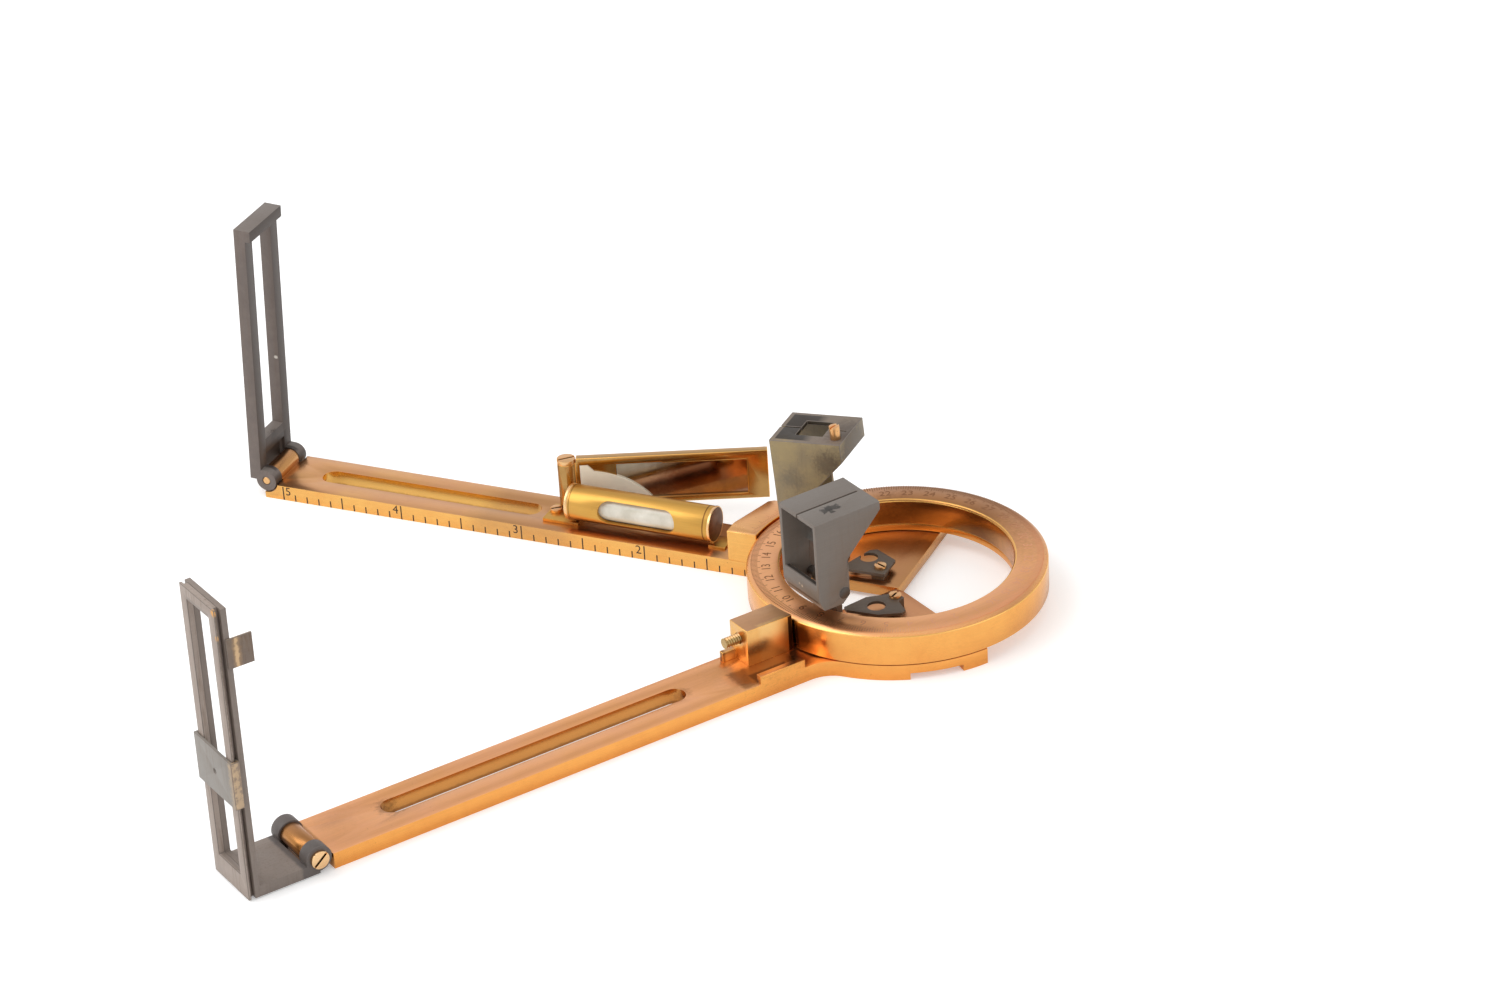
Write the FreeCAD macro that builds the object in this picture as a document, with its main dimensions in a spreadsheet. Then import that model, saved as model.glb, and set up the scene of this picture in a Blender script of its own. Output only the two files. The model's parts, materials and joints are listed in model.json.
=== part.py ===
import FreeCAD, Part
import math
import os
import re
import Sketcher
from FreeCAD import Placement, Rotation, Vector

# Folding surveying protractor: two arms that open about a divided ring, each with a
# folding sight vane at its outer end and a folding mirror box over the ring.
# Millimetres, +Z up. The origin is the axis of the ring in the plane the arms rest on.
# The lower arm lies along +X, the upper arm is swung clockwise by the opening angle.
# In the frame of an arm, x is the distance out from the ring's axis and t the distance
# in from the edge that is read; y is t on the lower arm and minus t on the upper arm.

SIZES = {
    # the two arms
    "opening": 56.63,
    "arm_width": 12.4,
    "arm_thick": 3.0,
    "slot_width": 4.4,
    "lower_slot_line": 5.7,
    "upper_slot_line": 6.4,
    "lower_slot_inner": 50.2,
    "lower_slot_outer": 111.2,
    "upper_slot_outer": 121.4,
    "neck_radius": 6.0,
    "plate_floor": 0.8,
    "slide_gap": 0.1,
    "fit": 0.05,
    # the ring and what carries it
    "ring_radius": 27.4,
    "ring_width": 6.2,
    "ring_top": 9.5,
    "ring_bevel": 1.0,
    "ring_edge": 0.35,
    "base_thick": 1.3,
    "base_inset": 2.5,
    # the clamp and the vernier
    "block_gap": 0.4,
    "block_top": 10.2,
    "block_inner_edge": 0.5,
    "block_outer_edge": 6.0,
    "block_length": 9.3,
    "clamp_line": 3.0,
    "clamp_height": 7.5,
    "clamp_radius": 1.0,
    "clamp_reach": 12.3,
    "vernier_top": 9.1,
    "vernier_length": 6.3,
    # the level
    "tube_line": 4.8,
    "tube_height": 7.2,
    "tube_radius": 3.4,
    "tube_wall": 0.7,
    "tube_start": 10.7,
    "tube_length": 29.5,
    "level_window_set": 6.9,
    "level_window_half": 2.2,
    "foot_thick": 0.6,
    # the swinging mirror
    "post_set": 2.5,
    "mirror_line": 8.9,
    "mirror_swing": 23.0,
    "mirror_top": 13.8,
    "mirror_floor": 3.7,
    "mirror_length": 37.9,
    "mirror_front": 0.6,
    "mirror_back": 1.0,
    "mirror_barrel": 1.75,
    "mirror_rail": 1.6,
    "mirror_block": 4.0,
    "mirror_inner_block": 9.3,
    "glass_thick": 0.6,
    # the vane of the upper arm
    "upper_hinge": 130.5,
    "upper_hinge_height": 3.6,
    "upper_knuckle": 2.1,
    "upper_vane_lean": 3.0,
    "upper_vane_top": 53.4,
    "upper_vane_depth": 3.4,
    "upper_vane_recess": 1.1,
    "upper_bar": 2.25,
    "upper_sill": 7.6,
    "upper_post": 2.7,
    "knuckle_width": 2.5,
    "pin_radius": 0.8,
    # the vane of the lower arm
    "lower_hinge": 127.0,
    "lower_hinge_height": 3.1,
    "lower_knuckle": 2.4,
    "lower_vane_lean": 0.3,
    "lower_vane_top": 52.5,
    "lower_vane_reach": 13.4,
    "lower_sill": 1.2,
    "lower_post": 2.4,
    "top_bar": 2.2,
    "rear_plate": 1.0,
    "front_frame": 1.15,
    "front_flange": 0.5,
    "foot_drop": 2.8,
    "foot_plate": 2.0,
    "clip_bottom": 15.2,
    "clip_height": 8.9,
    "clip_sheet": 0.5,
    # the two mirror boxes
    "upper_box_inset": 9.7,
    "lower_box_inset": 8.0,
    "box_pivot_height": 14.45,
    "box_front": 5.4,
    "box_back": 8.5,
    "box_top": 15.45,
    "box_heel": 1.15,
    "upper_box_end": 3.7,
    "lower_box_end": 1.6,
    "box_bottom": 2.1,
    "box_edge": 0.4,
    "box_width": 11.3,
    "box_wall": 0.8,
    "box_mirror": 0.8,
    "upper_box_lean": 4.5,
    "lower_box_lean": 0.8,
    "bracket_edge": 3.2,
    "bracket_width": 5.0,
    "bracket_set": 0.6,
    # the leaf springs
    "leaf_end": 13.4,
    "leaf_hole": 1.7,
    "leaf_top": 1.9,
    "leaf_sheet": 0.6,
}

LOWER = 1
UPPER = -1

doc = FreeCAD.newDocument("Protractor")
sheet = doc.addObject("Spreadsheet::Sheet", "Sizes")
for row, (name, size) in enumerate(SIZES.items(), start=1):
    sheet.set(f"A{row}", name)
    sheet.set(f"B{row}", str(size))
    sheet.setAlias(f"B{row}", name)
doc.recompute()

pieces = []


# Formulas

def bind(text):
    """Point the bare size names in a formula at the sheet."""
    def swap(match):
        word = match.group()
        return "Sizes." + word if word in SIZES else word
    return re.sub(r"[a-z][a-z_]*", swap, text)


def value(text):
    """The number a formula gives with the sizes in the sheet."""
    known = {name: float(sheet.get(name)) for name in re.findall(r"[a-z][a-z_]*", text) if name in SIZES}
    return float(sheet.evalExpression(re.sub(r"[a-z][a-z_]*", lambda m: repr(known[m.group()])
                                             if m.group() in known else m.group(), text)))


def across(side, distance):
    """The formula for y of a distance in from the reading edge."""
    return f"{side}*({distance})"


# Sketches

def flat(body, role, offset="0"):
    """A sketch on one of the body's own planes, moved along that plane's normal."""
    sketch = body.newObject("Sketcher::SketchObject", body.Label + "_sketch")
    plane = next(item for item in body.Origin.OriginFeatures if item.Role == role)
    sketch.AttachmentSupport = [(plane, "")]
    sketch.MapMode = "FlatFace"
    sketch.setExpression("AttachmentOffset.Base.z", bind(offset))
    return sketch


def hold(sketch, kind, refs, size):
    """A dimension that follows its formula."""
    number = sketch.addConstraint(Sketcher.Constraint(kind, *refs, value(size)))
    sketch.setExpression(f"Constraints[{number}]", bind(size))


def pin(sketch, piece, end, x, y):
    """Hold one point of the sketch at x, y."""
    if x == "0":
        sketch.addConstraint(Sketcher.Constraint("PointOnObject", piece, end, -2))
    else:
        hold(sketch, "DistanceX", (-1, 1, piece, end), x)
    if y == "0":
        sketch.addConstraint(Sketcher.Constraint("PointOnObject", piece, end, -1))
    else:
        hold(sketch, "DistanceY", (-1, 1, piece, end), y)


def arc_between(start, end, radius, turn):
    """The arc from start to end, turning left for +1 and right for -1."""
    middle = (start + end) * 0.5
    chord = end - start
    rise = math.sqrt(max(radius * radius - chord.Length ** 2 / 4, 0))
    left = Vector(-chord.y, chord.x, 0).normalize()
    centre = middle + left * (rise * turn)
    first, last = (start, end) if turn > 0 else (end, start)
    a = math.atan2(first.y - centre.y, first.x - centre.x)
    b = math.atan2(last.y - centre.y, last.x - centre.x)
    return Part.ArcOfCircle(Part.Circle(centre, Vector(0, 0, 1), radius), a, b if b > a else b + 2 * math.pi)


def path(sketch, points):
    """A closed outline. A point is (x, y), or (x, y, radius, turn) when an arc leaves it."""
    spots = [Vector(value(p[0]), value(p[1]), 0) for p in points]
    pieces_made = []
    for i, point in enumerate(points):
        start = spots[i]
        end = spots[(i + 1) % len(points)]
        if len(point) == 2:
            pieces_made.append((sketch.addGeometry(Part.LineSegment(start, end)), 1, 2))
        else:
            geometry = arc_between(start, end, value(point[2]), point[3])
            number = sketch.addGeometry(geometry)
            pieces_made.append((number, 1, 2) if point[3] > 0 else (number, 2, 1))
            hold(sketch, "Radius", (number,), point[2])
    for i, (number, first, last) in enumerate(pieces_made):
        following, following_first, _ = pieces_made[(i + 1) % len(points)]
        sketch.addConstraint(Sketcher.Constraint("Coincident", number, last, following, following_first))
        pin(sketch, number, first, points[i][0], points[i][1])


def box(sketch, x0, y0, x1, y1):
    path(sketch, [(x0, y0), (x1, y0), (x1, y1), (x0, y1)])


def circle(sketch, x, y, radius):
    spot = Vector(value(x), value(y), 0)
    number = sketch.addGeometry(Part.Circle(spot, Vector(0, 0, 1), value(radius)))
    pin(sketch, number, 3, x, y)
    hold(sketch, "Radius", (number,), radius)


def slot(sketch, x0, x1, y, radius):
    """A straight slot between two end centres, with round ends."""
    up = Vector(0, 0, 1)
    r = value(radius)
    a = Vector(value(x0), value(y), 0)
    b = Vector(value(x1), value(y), 0)
    shift = Vector(0, r, 0)
    left = sketch.addGeometry(Part.ArcOfCircle(Part.Circle(a, up, r), math.pi / 2, 3 * math.pi / 2))
    low = sketch.addGeometry(Part.LineSegment(a - shift, b - shift))
    right = sketch.addGeometry(Part.ArcOfCircle(Part.Circle(b, up, r), -math.pi / 2, math.pi / 2))
    high = sketch.addGeometry(Part.LineSegment(b + shift, a + shift))
    for joint in ((left, 2, low, 1), (low, 2, right, 1), (right, 2, high, 1), (high, 2, left, 1)):
        sketch.addConstraint(Sketcher.Constraint("Tangent", *joint))
    sketch.addConstraint(Sketcher.Constraint("Equal", left, right))
    pin(sketch, left, 3, x0, y)
    pin(sketch, right, 3, x1, y)
    hold(sketch, "Radius", (left,), radius)


# Features

def new_body(label):
    body = doc.addObject("PartDesign::Body", label)
    body.Label = label
    pieces.append(body)
    return body


def pad(body, sketch, length, back=False):
    feature = body.newObject("PartDesign::Pad", body.Label + "_pad")
    feature.Profile = sketch
    feature.Reversed = back
    feature.setExpression("Length", bind(length))
    doc.recompute()
    return feature


def cut(body, sketch, depth, back=False):
    """A pocket, checked to have taken something away."""
    before = body.Shape.Volume
    feature = body.newObject("PartDesign::Pocket", body.Label + "_pocket")
    feature.Profile = sketch
    feature.Reversed = back
    feature.setExpression("Length", bind(depth))
    doc.recompute()
    if body.Shape.Volume > before - 1e-4:
        raise ValueError("a pocket of " + body.Label + " cuts nothing")
    return feature


def rise(body, low, length, draw):
    """Pad an outline drawn in plan from one height upward."""
    sketch = flat(body, "XY_Plane", low)
    draw(sketch)
    return pad(body, sketch, length)


def sink(body, high, depth, draw):
    """Pocket an outline drawn in plan from one height downward."""
    sketch = flat(body, "XY_Plane", high)
    draw(sketch)
    return cut(body, sketch, depth)


def side_sketch(body, side, start):
    return flat(body, "XZ_Plane", f"{-side}*({start})")


def widen(body, side, start, end, draw):
    """Pad a side profile across the arm, between two distances from the reading edge."""
    sketch = side_sketch(body, side, start)
    draw(sketch)
    return pad(body, sketch, f"{end}-({start})", side > 0)


def bore(body, side, start, end, draw):
    """Pocket a side profile across the arm, between two distances from the reading edge."""
    sketch = side_sketch(body, side, start)
    draw(sketch)
    return cut(body, sketch, f"{end}-({start})", side < 0)


def turned(label, points):
    """A piece turned about its own z axis from an outline of radius and height."""
    body = new_body(label)
    sketch = flat(body, "XZ_Plane")
    path(sketch, points)
    feature = body.newObject("PartDesign::Revolution", label + "_turned")
    feature.Profile = sketch
    feature.ReferenceAxis = (sketch, ["V_Axis"])
    feature.Angle = 360
    doc.recompute()
    return body


def screw(label, head, head_height, shank, length, slot_angle=0):
    """A slotted screw, head up, its origin under the head."""
    body = turned(label, [
        ("0", f"-({length})"), (shank, f"-({length})"), (shank, "0"), (head, "0"),
        (head, head_height), ("0", head_height)])
    sketch = flat(body, "XY_Plane", head_height)
    box(sketch, f"-({head})-0.2", "-0.22", f"{head}+0.2", "0.22")
    sketch.AttachmentOffset = Placement(sketch.AttachmentOffset.Base, Rotation(Vector(0, 0, 1), slot_angle))
    sketch.setExpression("AttachmentOffset.Base.z", bind(head_height))
    cut(body, sketch, "0.35")
    return body


def arm_frame(side):
    angle = -value("opening") if side == UPPER else 0
    return Placement(Vector(0, 0, 0), Rotation(Vector(0, 0, 1), angle))


def put(body, side, x="0", t="0", z="0", axis=(0, 0, 1), angle=0.0):
    """Set a piece in the frame of its arm."""
    spot = Vector(value(x), value(across(side, t)), value(z))
    body.Placement = arm_frame(side).multiply(Placement(spot, Rotation(Vector(*axis), angle)))
    return body


# Arms

HUB = "(ring_radius-slide_gap)"
BORE = "(ring_radius-ring_width)"
BLOCK_END = "(ring_radius+block_length)"
NECK_X = f"sqrt(({HUB}+neck_radius)^2-(arm_width+neck_radius)^2)"
NECK_SHARE = f"{HUB}/({HUB}+neck_radius)"


def hub_outline(side, outer, corner_x, corner_t):
    """The quarter plate under the ring, its neck, and the bar as far as outer."""
    w = across(side, "arm_width")
    end_x = "0"
    return [
        (outer, "0"),
        (corner_x, "0"),
        (end_x, across(side, corner_t)),
        (end_x, across(side, HUB), HUB, -side),
        (f"{NECK_X}*{NECK_SHARE}", across(side, f"(arm_width+neck_radius)*{NECK_SHARE}"), "neck_radius", side),
        (NECK_X, w),
        (outer, w)]


def hinge_barrel(body, side, hinge, height, radius):
    """The plain middle knuckle at the arm's outer end, bored for the hinge pin."""
    start = "knuckle_width+slide_gap"
    end = "arm_width-knuckle_width-slide_gap"
    widen(body, side, start, end, lambda s: box(s, f"{hinge}-3.5", "plate_floor", hinge, "arm_thick"))
    widen(body, side, start, end, lambda s: circle(s, hinge, height, radius))
    bore(body, side, "0", "arm_width", lambda s: circle(s, hinge, height, "pin_radius+fit"))


def arm_slot(body, side, inner, outer, line):
    half = "slot_width/2"
    line = across(side, line)
    sink(body, "arm_thick", "arm_thick+0.1",
         lambda s: slot(s, f"{inner}+{half}", f"{outer}-{half}", line, half))


lower_arm = new_body("lower_arm")
LOWER_END = "lower_hinge-lower_knuckle-0.3"
rise(lower_arm, "0", "arm_thick",
     lambda s: path(s, hub_outline(LOWER, LOWER_END, "0.6", "1.6")))
arm_slot(lower_arm, LOWER, "lower_slot_inner", "lower_slot_outer", "lower_slot_line")
rise(lower_arm, "arm_thick", "1.6",
     lambda s: box(s, "ring_radius+1.6", "arm_width-1.2", f"{BLOCK_END}+1.7", "arm_width"))
hinge_barrel(lower_arm, LOWER, "lower_hinge", "lower_hinge_height", "lower_knuckle-0.3")
widen(lower_arm, LOWER, "knuckle_width+slide_gap", "arm_width-knuckle_width-slide_gap",
      lambda s: box(s, "lower_hinge-1", "plate_floor",
                    "lower_hinge+1.4", "lower_hinge_height-pin_radius-0.25"))

# The rim of the lower quarter plate is relieved from below short of its end
relief = flat(lower_arm, "XY_Plane")
path(relief, [(f"{r}*cos({a})", f"{r}*sin({a})")
              for r, a in (("(ring_radius-2.9)", 59), ("(ring_radius+2.9)", 59),
                           ("(ring_radius+2.9)", 79.5), ("(ring_radius-2.9)", 79.5))])
cut(lower_arm, relief, "1.3", True)
put(lower_arm, LOWER)

upper_arm = new_body("upper_arm")
rise(upper_arm, "plate_floor", "arm_thick-slide_gap-plate_floor",
     lambda s: path(s, hub_outline(UPPER, "ring_radius+5.9", "0.3", "0.3")))
rise(upper_arm, "0", "arm_thick",
     lambda s: box(s, "ring_radius+1", "0", "upper_hinge+0.5", across(UPPER, "arm_width")))
TUBE_IN = "(ring_radius+tube_start)"
TUBE_OUT = f"({TUBE_IN}+tube_length)"
MIRROR_POST = f"({TUBE_OUT}+post_set)"
arm_slot(upper_arm, UPPER, f"{MIRROR_POST}+4.9", "upper_slot_outer", "upper_slot_line")
for start, end in (("-0.1", "knuckle_width+slide_gap"),
                   ("arm_width-knuckle_width-slide_gap", "arm_width+0.1")):
    bore(upper_arm, UPPER, start, end,
         lambda s: circle(s, "upper_hinge", "upper_hinge_height", "upper_knuckle+0.3"))
hinge_barrel(upper_arm, UPPER, "upper_hinge", "upper_hinge_height", "upper_knuckle-0.1")
put(upper_arm, UPPER)


# Ring and the ring that carries it

BASE_TOP = "(arm_thick+base_thick)"
BASE_OUTER = "(ring_radius-base_inset)"
base_ring = turned("base_ring", [
    (f"{BORE}+slide_gap", "arm_thick"), (BASE_OUTER, "arm_thick"), (BASE_OUTER, BASE_TOP),
    (f"{BORE}+slide_gap", BASE_TOP)])

# The divided ring turns on the base ring, and its skirt hides it from outside
divided_ring = turned("divided_ring", [
    (BORE, f"{BASE_TOP}+slide_gap"), (f"{BASE_OUTER}+slide_gap", f"{BASE_TOP}+slide_gap"),
    (f"{BASE_OUTER}+slide_gap", "arm_thick+2*slide_gap"), ("ring_radius", "arm_thick+2*slide_gap"),
    ("ring_radius", "ring_top-0.65*ring_bevel"), ("ring_radius-ring_bevel", "ring_top"),
    (f"{BORE}+ring_edge", "ring_top"), (BORE, "ring_top-ring_edge")])


# Clamp on the lower arm

BLOCK_FACE = "ring_radius+block_gap"


def block_outline(side, first, corners, last):
    """A block whose inner face follows the ring between two distances from the edge."""
    def on_ring(t):
        return (f"sqrt(({BLOCK_FACE})^2-({t})^2)", across(side, t))
    body = [(x, across(side, t)) for x, t in corners]
    return [on_ring(first)] + body + [on_ring(last) + (BLOCK_FACE, -side)]


clamp_block = new_body("clamp_block")
rise(clamp_block, "arm_thick", "block_top-arm_thick",
     lambda s: path(s, block_outline(LOWER, "block_inner_edge",
                                     [(BLOCK_END, "block_inner_edge"), (BLOCK_END, "block_outer_edge")],
                                     "block_outer_edge")))
rise(clamp_block, "arm_thick", "2.0",
     lambda s: box(s, f"{BLOCK_END}-0.5", "block_inner_edge+0.5", f"{BLOCK_END}+2.8", "block_inner_edge+1.5"))
sketch = flat(clamp_block, "YZ_Plane", f"{BLOCK_END}+0.1")
circle(sketch, "clamp_line", "clamp_height", "clamp_radius+fit")
cut(clamp_block, sketch, "block_length+1.1")
put(clamp_block, LOWER)

clamp_screw = turned("clamp_screw", [
    ("0", "0"), ("clamp_radius-0.3", "0"), ("clamp_radius", "0.3"),
    ("clamp_radius", "clamp_reach-0.3"), ("clamp_radius-0.25", "clamp_reach-0.05"),
    ("0", "clamp_reach-0.05")])
put(clamp_screw, LOWER, "ring_radius+0.05", "clamp_line", "clamp_height", (0, 1, 0), 90)


# Vernier on the upper arm

VERNIER_END = "(ring_radius+vernier_length)"
vernier_block = new_body("vernier_block")
rise(vernier_block, "arm_thick", "vernier_top-arm_thick",
     lambda s: path(s, block_outline(UPPER, "0.02",
                                     [(VERNIER_END, "0.02"), (VERNIER_END, "3.3"),
                                      (f"{VERNIER_END}-3", "arm_width+0.4"),
                                      (f"{VERNIER_END}-4", "arm_width+1.1")],
                                     "arm_width+1.1")))
put(vernier_block, UPPER)


# Level on the upper arm

level_tube = new_body("level_tube")
sketch = flat(level_tube, "YZ_Plane", TUBE_IN)
circle(sketch, across(UPPER, "tube_line"), "tube_height", "tube_radius")
pad(level_tube, sketch, "tube_length")
for inner, outer, far_edge, saddle_inner, saddle_outer in (
        (f"{TUBE_OUT}-1.9", f"{MIRROR_POST}+2.9", "mirror_line-0.1", f"{TUBE_OUT}-1.1", TUBE_OUT),
        (f"{TUBE_IN}-2.5", f"{TUBE_IN}+0.9", "tube_line+2.1", f"{TUBE_IN}+0.1", f"{TUBE_IN}+0.9")):
    rise(level_tube, "arm_thick", "foot_thick",
         lambda s: box(s, inner, across(UPPER, "tube_line-1.8"), outer, across(UPPER, far_edge)))
    rise(level_tube, "arm_thick", "1.4",
         lambda s: box(s, saddle_inner, across(UPPER, "tube_line-1"),
                       saddle_outer, across(UPPER, "tube_line+1")))
sketch = flat(level_tube, "YZ_Plane", TUBE_IN)
circle(sketch, across(UPPER, "tube_line"), "tube_height", "tube_radius-tube_wall")
cut(level_tube, sketch, "tube_length-1.2", True)
bore(level_tube, UPPER, "0", "arm_width",
     lambda s: slot(s, f"{TUBE_IN}+level_window_set+level_window_half",
                    f"{TUBE_OUT}-level_window_set-level_window_half", "tube_height+0.4", "level_window_half"))
LEVEL_SCREW_X = f"{MIRROR_POST}+1.6"
LEVEL_SCREW_T = "mirror_line-2.5"
sink(level_tube, "arm_thick+foot_thick", "foot_thick+0.1",
     lambda s: circle(s, LEVEL_SCREW_X, across(UPPER, LEVEL_SCREW_T), "0.6+fit"))
sink(upper_arm, "arm_thick", "2.2",
     lambda s: circle(s, LEVEL_SCREW_X, across(UPPER, LEVEL_SCREW_T), "0.6+fit"))
sink(level_tube, "arm_thick+foot_thick", "foot_thick+0.1",
     lambda s: circle(s, MIRROR_POST, across(UPPER, "mirror_line"), "0.7+fit"))
put(level_tube, UPPER)

level_screw = screw("level_screw", "1.15", "0.6", "0.6", "2.6", 35)
put(level_screw, UPPER, LEVEL_SCREW_X, LEVEL_SCREW_T, "arm_thick+foot_thick")

# The inner end of the tube is closed by a plug set just inside its rim
level_cap = turned("level_cap", [
    ("0", "0"), ("tube_radius-tube_wall-fit", "0"), ("tube_radius-tube_wall-fit", "1.9"), ("0", "1.9")])
put(level_cap, UPPER, f"{TUBE_IN}+0.2", "tube_line", "tube_height", (0, 1, 0), 90)

VIAL = "(tube_length-3.6)"
level_vial = turned("level_vial", [
    ("0", "0"), ("tube_radius-tube_wall-0.15", "0"), ("tube_radius-tube_wall-0.15", VIAL), ("0", VIAL)])
put(level_vial, UPPER, f"{TUBE_IN}+2.2", "tube_line", "tube_height", (0, 1, 0), 90)


# Swinging mirror on the upper arm; x runs along the frame from its post

def put_mirror(body, z="0"):
    angle = 180 + value("mirror_swing")
    return put(body, UPPER, MIRROR_POST, "mirror_line", z, (0, 0, 1), angle)


def slab(body, front, back, draw):
    """Pad a face outline between two depths, front toward the tube."""
    sketch = flat(body, "XZ_Plane", f"-({front})")
    draw(sketch)
    return pad(body, sketch, f"{back}-({front})", True)


# A tray of brass: the glass lies in a recess that is open toward the tube
mirror_frame = new_body("mirror_frame")
slab(mirror_frame, "-mirror_front", "mirror_back",
     lambda s: box(s, "0", "mirror_floor", "mirror_length", "mirror_top"))
rise(mirror_frame, "arm_thick+foot_thick+slide_gap", "mirror_top-0.8-arm_thick-foot_thick-slide_gap",
     lambda s: circle(s, "0", "0", "mirror_barrel"))
sink(mirror_frame, "mirror_top+0.1", "0.9", lambda s: box(s, "-0.1", "-3", "mirror_barrel+0.1", "3"))


def recess(start, end, low, high, depth):
    """A pocket in the frame's face toward the tube, between two lengths and two heights."""
    sketch = flat(mirror_frame, "XZ_Plane", "mirror_front")
    box(sketch, start, low, end, high)
    cut(mirror_frame, sketch, depth)


GLASS_START = "mirror_inner_block"
GLASS_END = "mirror_length-mirror_block"
GLASS_LOW = "mirror_floor+mirror_rail-0.4"
GLASS_HIGH = "mirror_top-mirror_rail-0.1"
SHARD_START = "mirror_barrel+0.7"
SHARD_HIGH = "mirror_top-mirror_rail+0.2"
recess(GLASS_START, GLASS_END, GLASS_LOW, GLASS_HIGH, "mirror_front+mirror_back-0.5")
recess(SHARD_START, "18", GLASS_LOW, SHARD_HIGH, "0.4")
sink(mirror_frame, "mirror_top", "mirror_top", lambda s: circle(s, "0", "0", "0.7+fit"))
put_mirror(mirror_frame)

mirror_glass = new_body("mirror_glass")
slab(mirror_glass, "mirror_back-0.5-glass_thick", "mirror_back-0.5",
     lambda s: box(s, f"{GLASS_START}+fit", f"{GLASS_LOW}+fit", f"{GLASS_END}-fit", f"{GLASS_HIGH}-fit"))
put_mirror(mirror_glass)

# A broken pale plate, left in the shallow part of the recess nearest the post
mirror_shard = new_body("mirror_shard")
slab(mirror_shard, "0.05-mirror_front", "0.4-mirror_front",
     lambda s: path(s, [(f"{SHARD_START}+fit", f"{GLASS_LOW}+fit"), ("15.8", f"{GLASS_LOW}+fit", "17", 1),
                        (f"{SHARD_START}+2.7", "mirror_top-2.9"), (f"{SHARD_START}+1.5", f"{SHARD_HIGH}-fit"),
                        (f"{SHARD_START}+fit", f"{SHARD_HIGH}-fit")]))
put_mirror(mirror_shard)

sink(upper_arm, "arm_thick", "1.8",
     lambda s: circle(s, MIRROR_POST, across(UPPER, "mirror_line"), "0.7+fit"))
mirror_screw = screw("mirror_screw", "mirror_barrel", "0.75", "0.7", "mirror_top-0.75-arm_thick+1.7", 20)
put_mirror(mirror_screw, "mirror_top-0.75")


# Hinged vane of the upper arm; x outward and z up from the hinge pin

upper_vane = new_body("upper_vane")
sketch = flat(upper_vane, "YZ_Plane")
box(sketch, "0", "0", across(UPPER, "arm_width"), "upper_vane_top")
box(sketch, across(UPPER, "upper_post"), "upper_sill", across(UPPER, "arm_width-upper_post"),
    "upper_vane_top-upper_bar")
pad(upper_vane, sketch, "upper_vane_depth")
bore(upper_vane, UPPER, "-0.1", "arm_width+0.1",
     lambda s: box(s, "-0.1", "upper_knuckle", "upper_vane_recess", "upper_vane_top-upper_bar"))
for start, end in (("0", "knuckle_width"), ("arm_width-knuckle_width", "arm_width")):
    widen(upper_vane, UPPER, start, end, lambda s: circle(s, "0", "0", "upper_knuckle"))
bore(upper_vane, UPPER, "knuckle_width", "arm_width-knuckle_width",
     lambda s: box(s, "-upper_knuckle", "-0.1", "upper_knuckle+0.2", "upper_sill-3"))
bore(upper_vane, UPPER, "-0.1", "arm_width+0.1", lambda s: circle(s, "0", "0", "pin_radius+fit"))
put(upper_vane, UPPER, "upper_hinge", "0", "upper_hinge_height", (0, 1, 0), -value("upper_vane_lean"))

upper_vane_pin = turned("upper_vane_pin", [
    ("0", "0"), ("pin_radius-0.15", "0"), ("pin_radius", "0.15"), ("pin_radius", "arm_width-0.15"),
    ("pin_radius-0.15", "arm_width"), ("0", "arm_width")])
put(upper_vane_pin, UPPER, "upper_hinge", "0", "upper_hinge_height", (1, 0, 0), 90)


# Hinged vane of the lower arm; x outward and z up from the hinge screw

def put_vane(body):
    return put(body, LOWER, "lower_hinge", "0", "lower_hinge_height", (0, 1, 0), -value("lower_vane_lean"))


FRONT_X = "lower_vane_reach-front_frame"
REAR_X = "lower_vane_reach-front_frame-rear_plate"


def window(sketch, top):
    box(sketch, "lower_post", "lower_sill", "arm_width-lower_post", f"{top}-top_bar")


lower_vane = new_body("lower_vane")
sketch = flat(lower_vane, "YZ_Plane", REAR_X)
box(sketch, "0", "-foot_drop", "arm_width", "lower_vane_top")
window(sketch, "lower_vane_top")
pad(lower_vane, sketch, "rear_plate")
rise(lower_vane, "-foot_drop", "foot_plate", lambda s: box(s, "0", "0", f"{REAR_X}+0.1", "arm_width"))
for start, end in (("0", "knuckle_width"), ("arm_width-knuckle_width", "arm_width")):
    widen(lower_vane, LOWER, start, end, lambda s: circle(s, "0", "0", "lower_knuckle"))
sink(lower_vane, "lower_knuckle+0.1", "lower_knuckle+foot_drop+0.2",
     lambda s: box(s, "-3", "knuckle_width", "lower_knuckle-0.15", "arm_width-knuckle_width"))
bore(lower_vane, LOWER, "-0.1", "arm_width+0.1", lambda s: circle(s, "0", "0", "pin_radius+fit"))
put_vane(lower_vane)

vane_front = new_body("vane_front")
for x, thick, edge in ((FRONT_X, "front_frame-front_flange", "1.1"),
                       ("lower_vane_reach-front_flange", "front_flange", "0.2")):
    sketch = flat(vane_front, "YZ_Plane", x)
    box(sketch, edge, "-lower_hinge_height+0.1", f"arm_width-{edge}", "lower_vane_top")
    window(sketch, "lower_vane_top")
    pad(vane_front, sketch, thick)
put_vane(vane_front)

vane_catch = new_body("vane_catch")
widen(vane_catch, LOWER, "arm_width", "arm_width+0.4",
      lambda s: box(s, f"{REAR_X}-3.8", "lower_vane_top-11.1", f"{FRONT_X}-0.1", "lower_vane_top-5.6"))
put_vane(vane_catch)

lower_vane_screw = screw("lower_vane_screw", "lower_knuckle-0.75", "0.6", "pin_radius", "arm_width", 40)
put(lower_vane_screw, LOWER, "lower_hinge", "arm_width", "lower_hinge_height", (1, 0, 0), -90)

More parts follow.
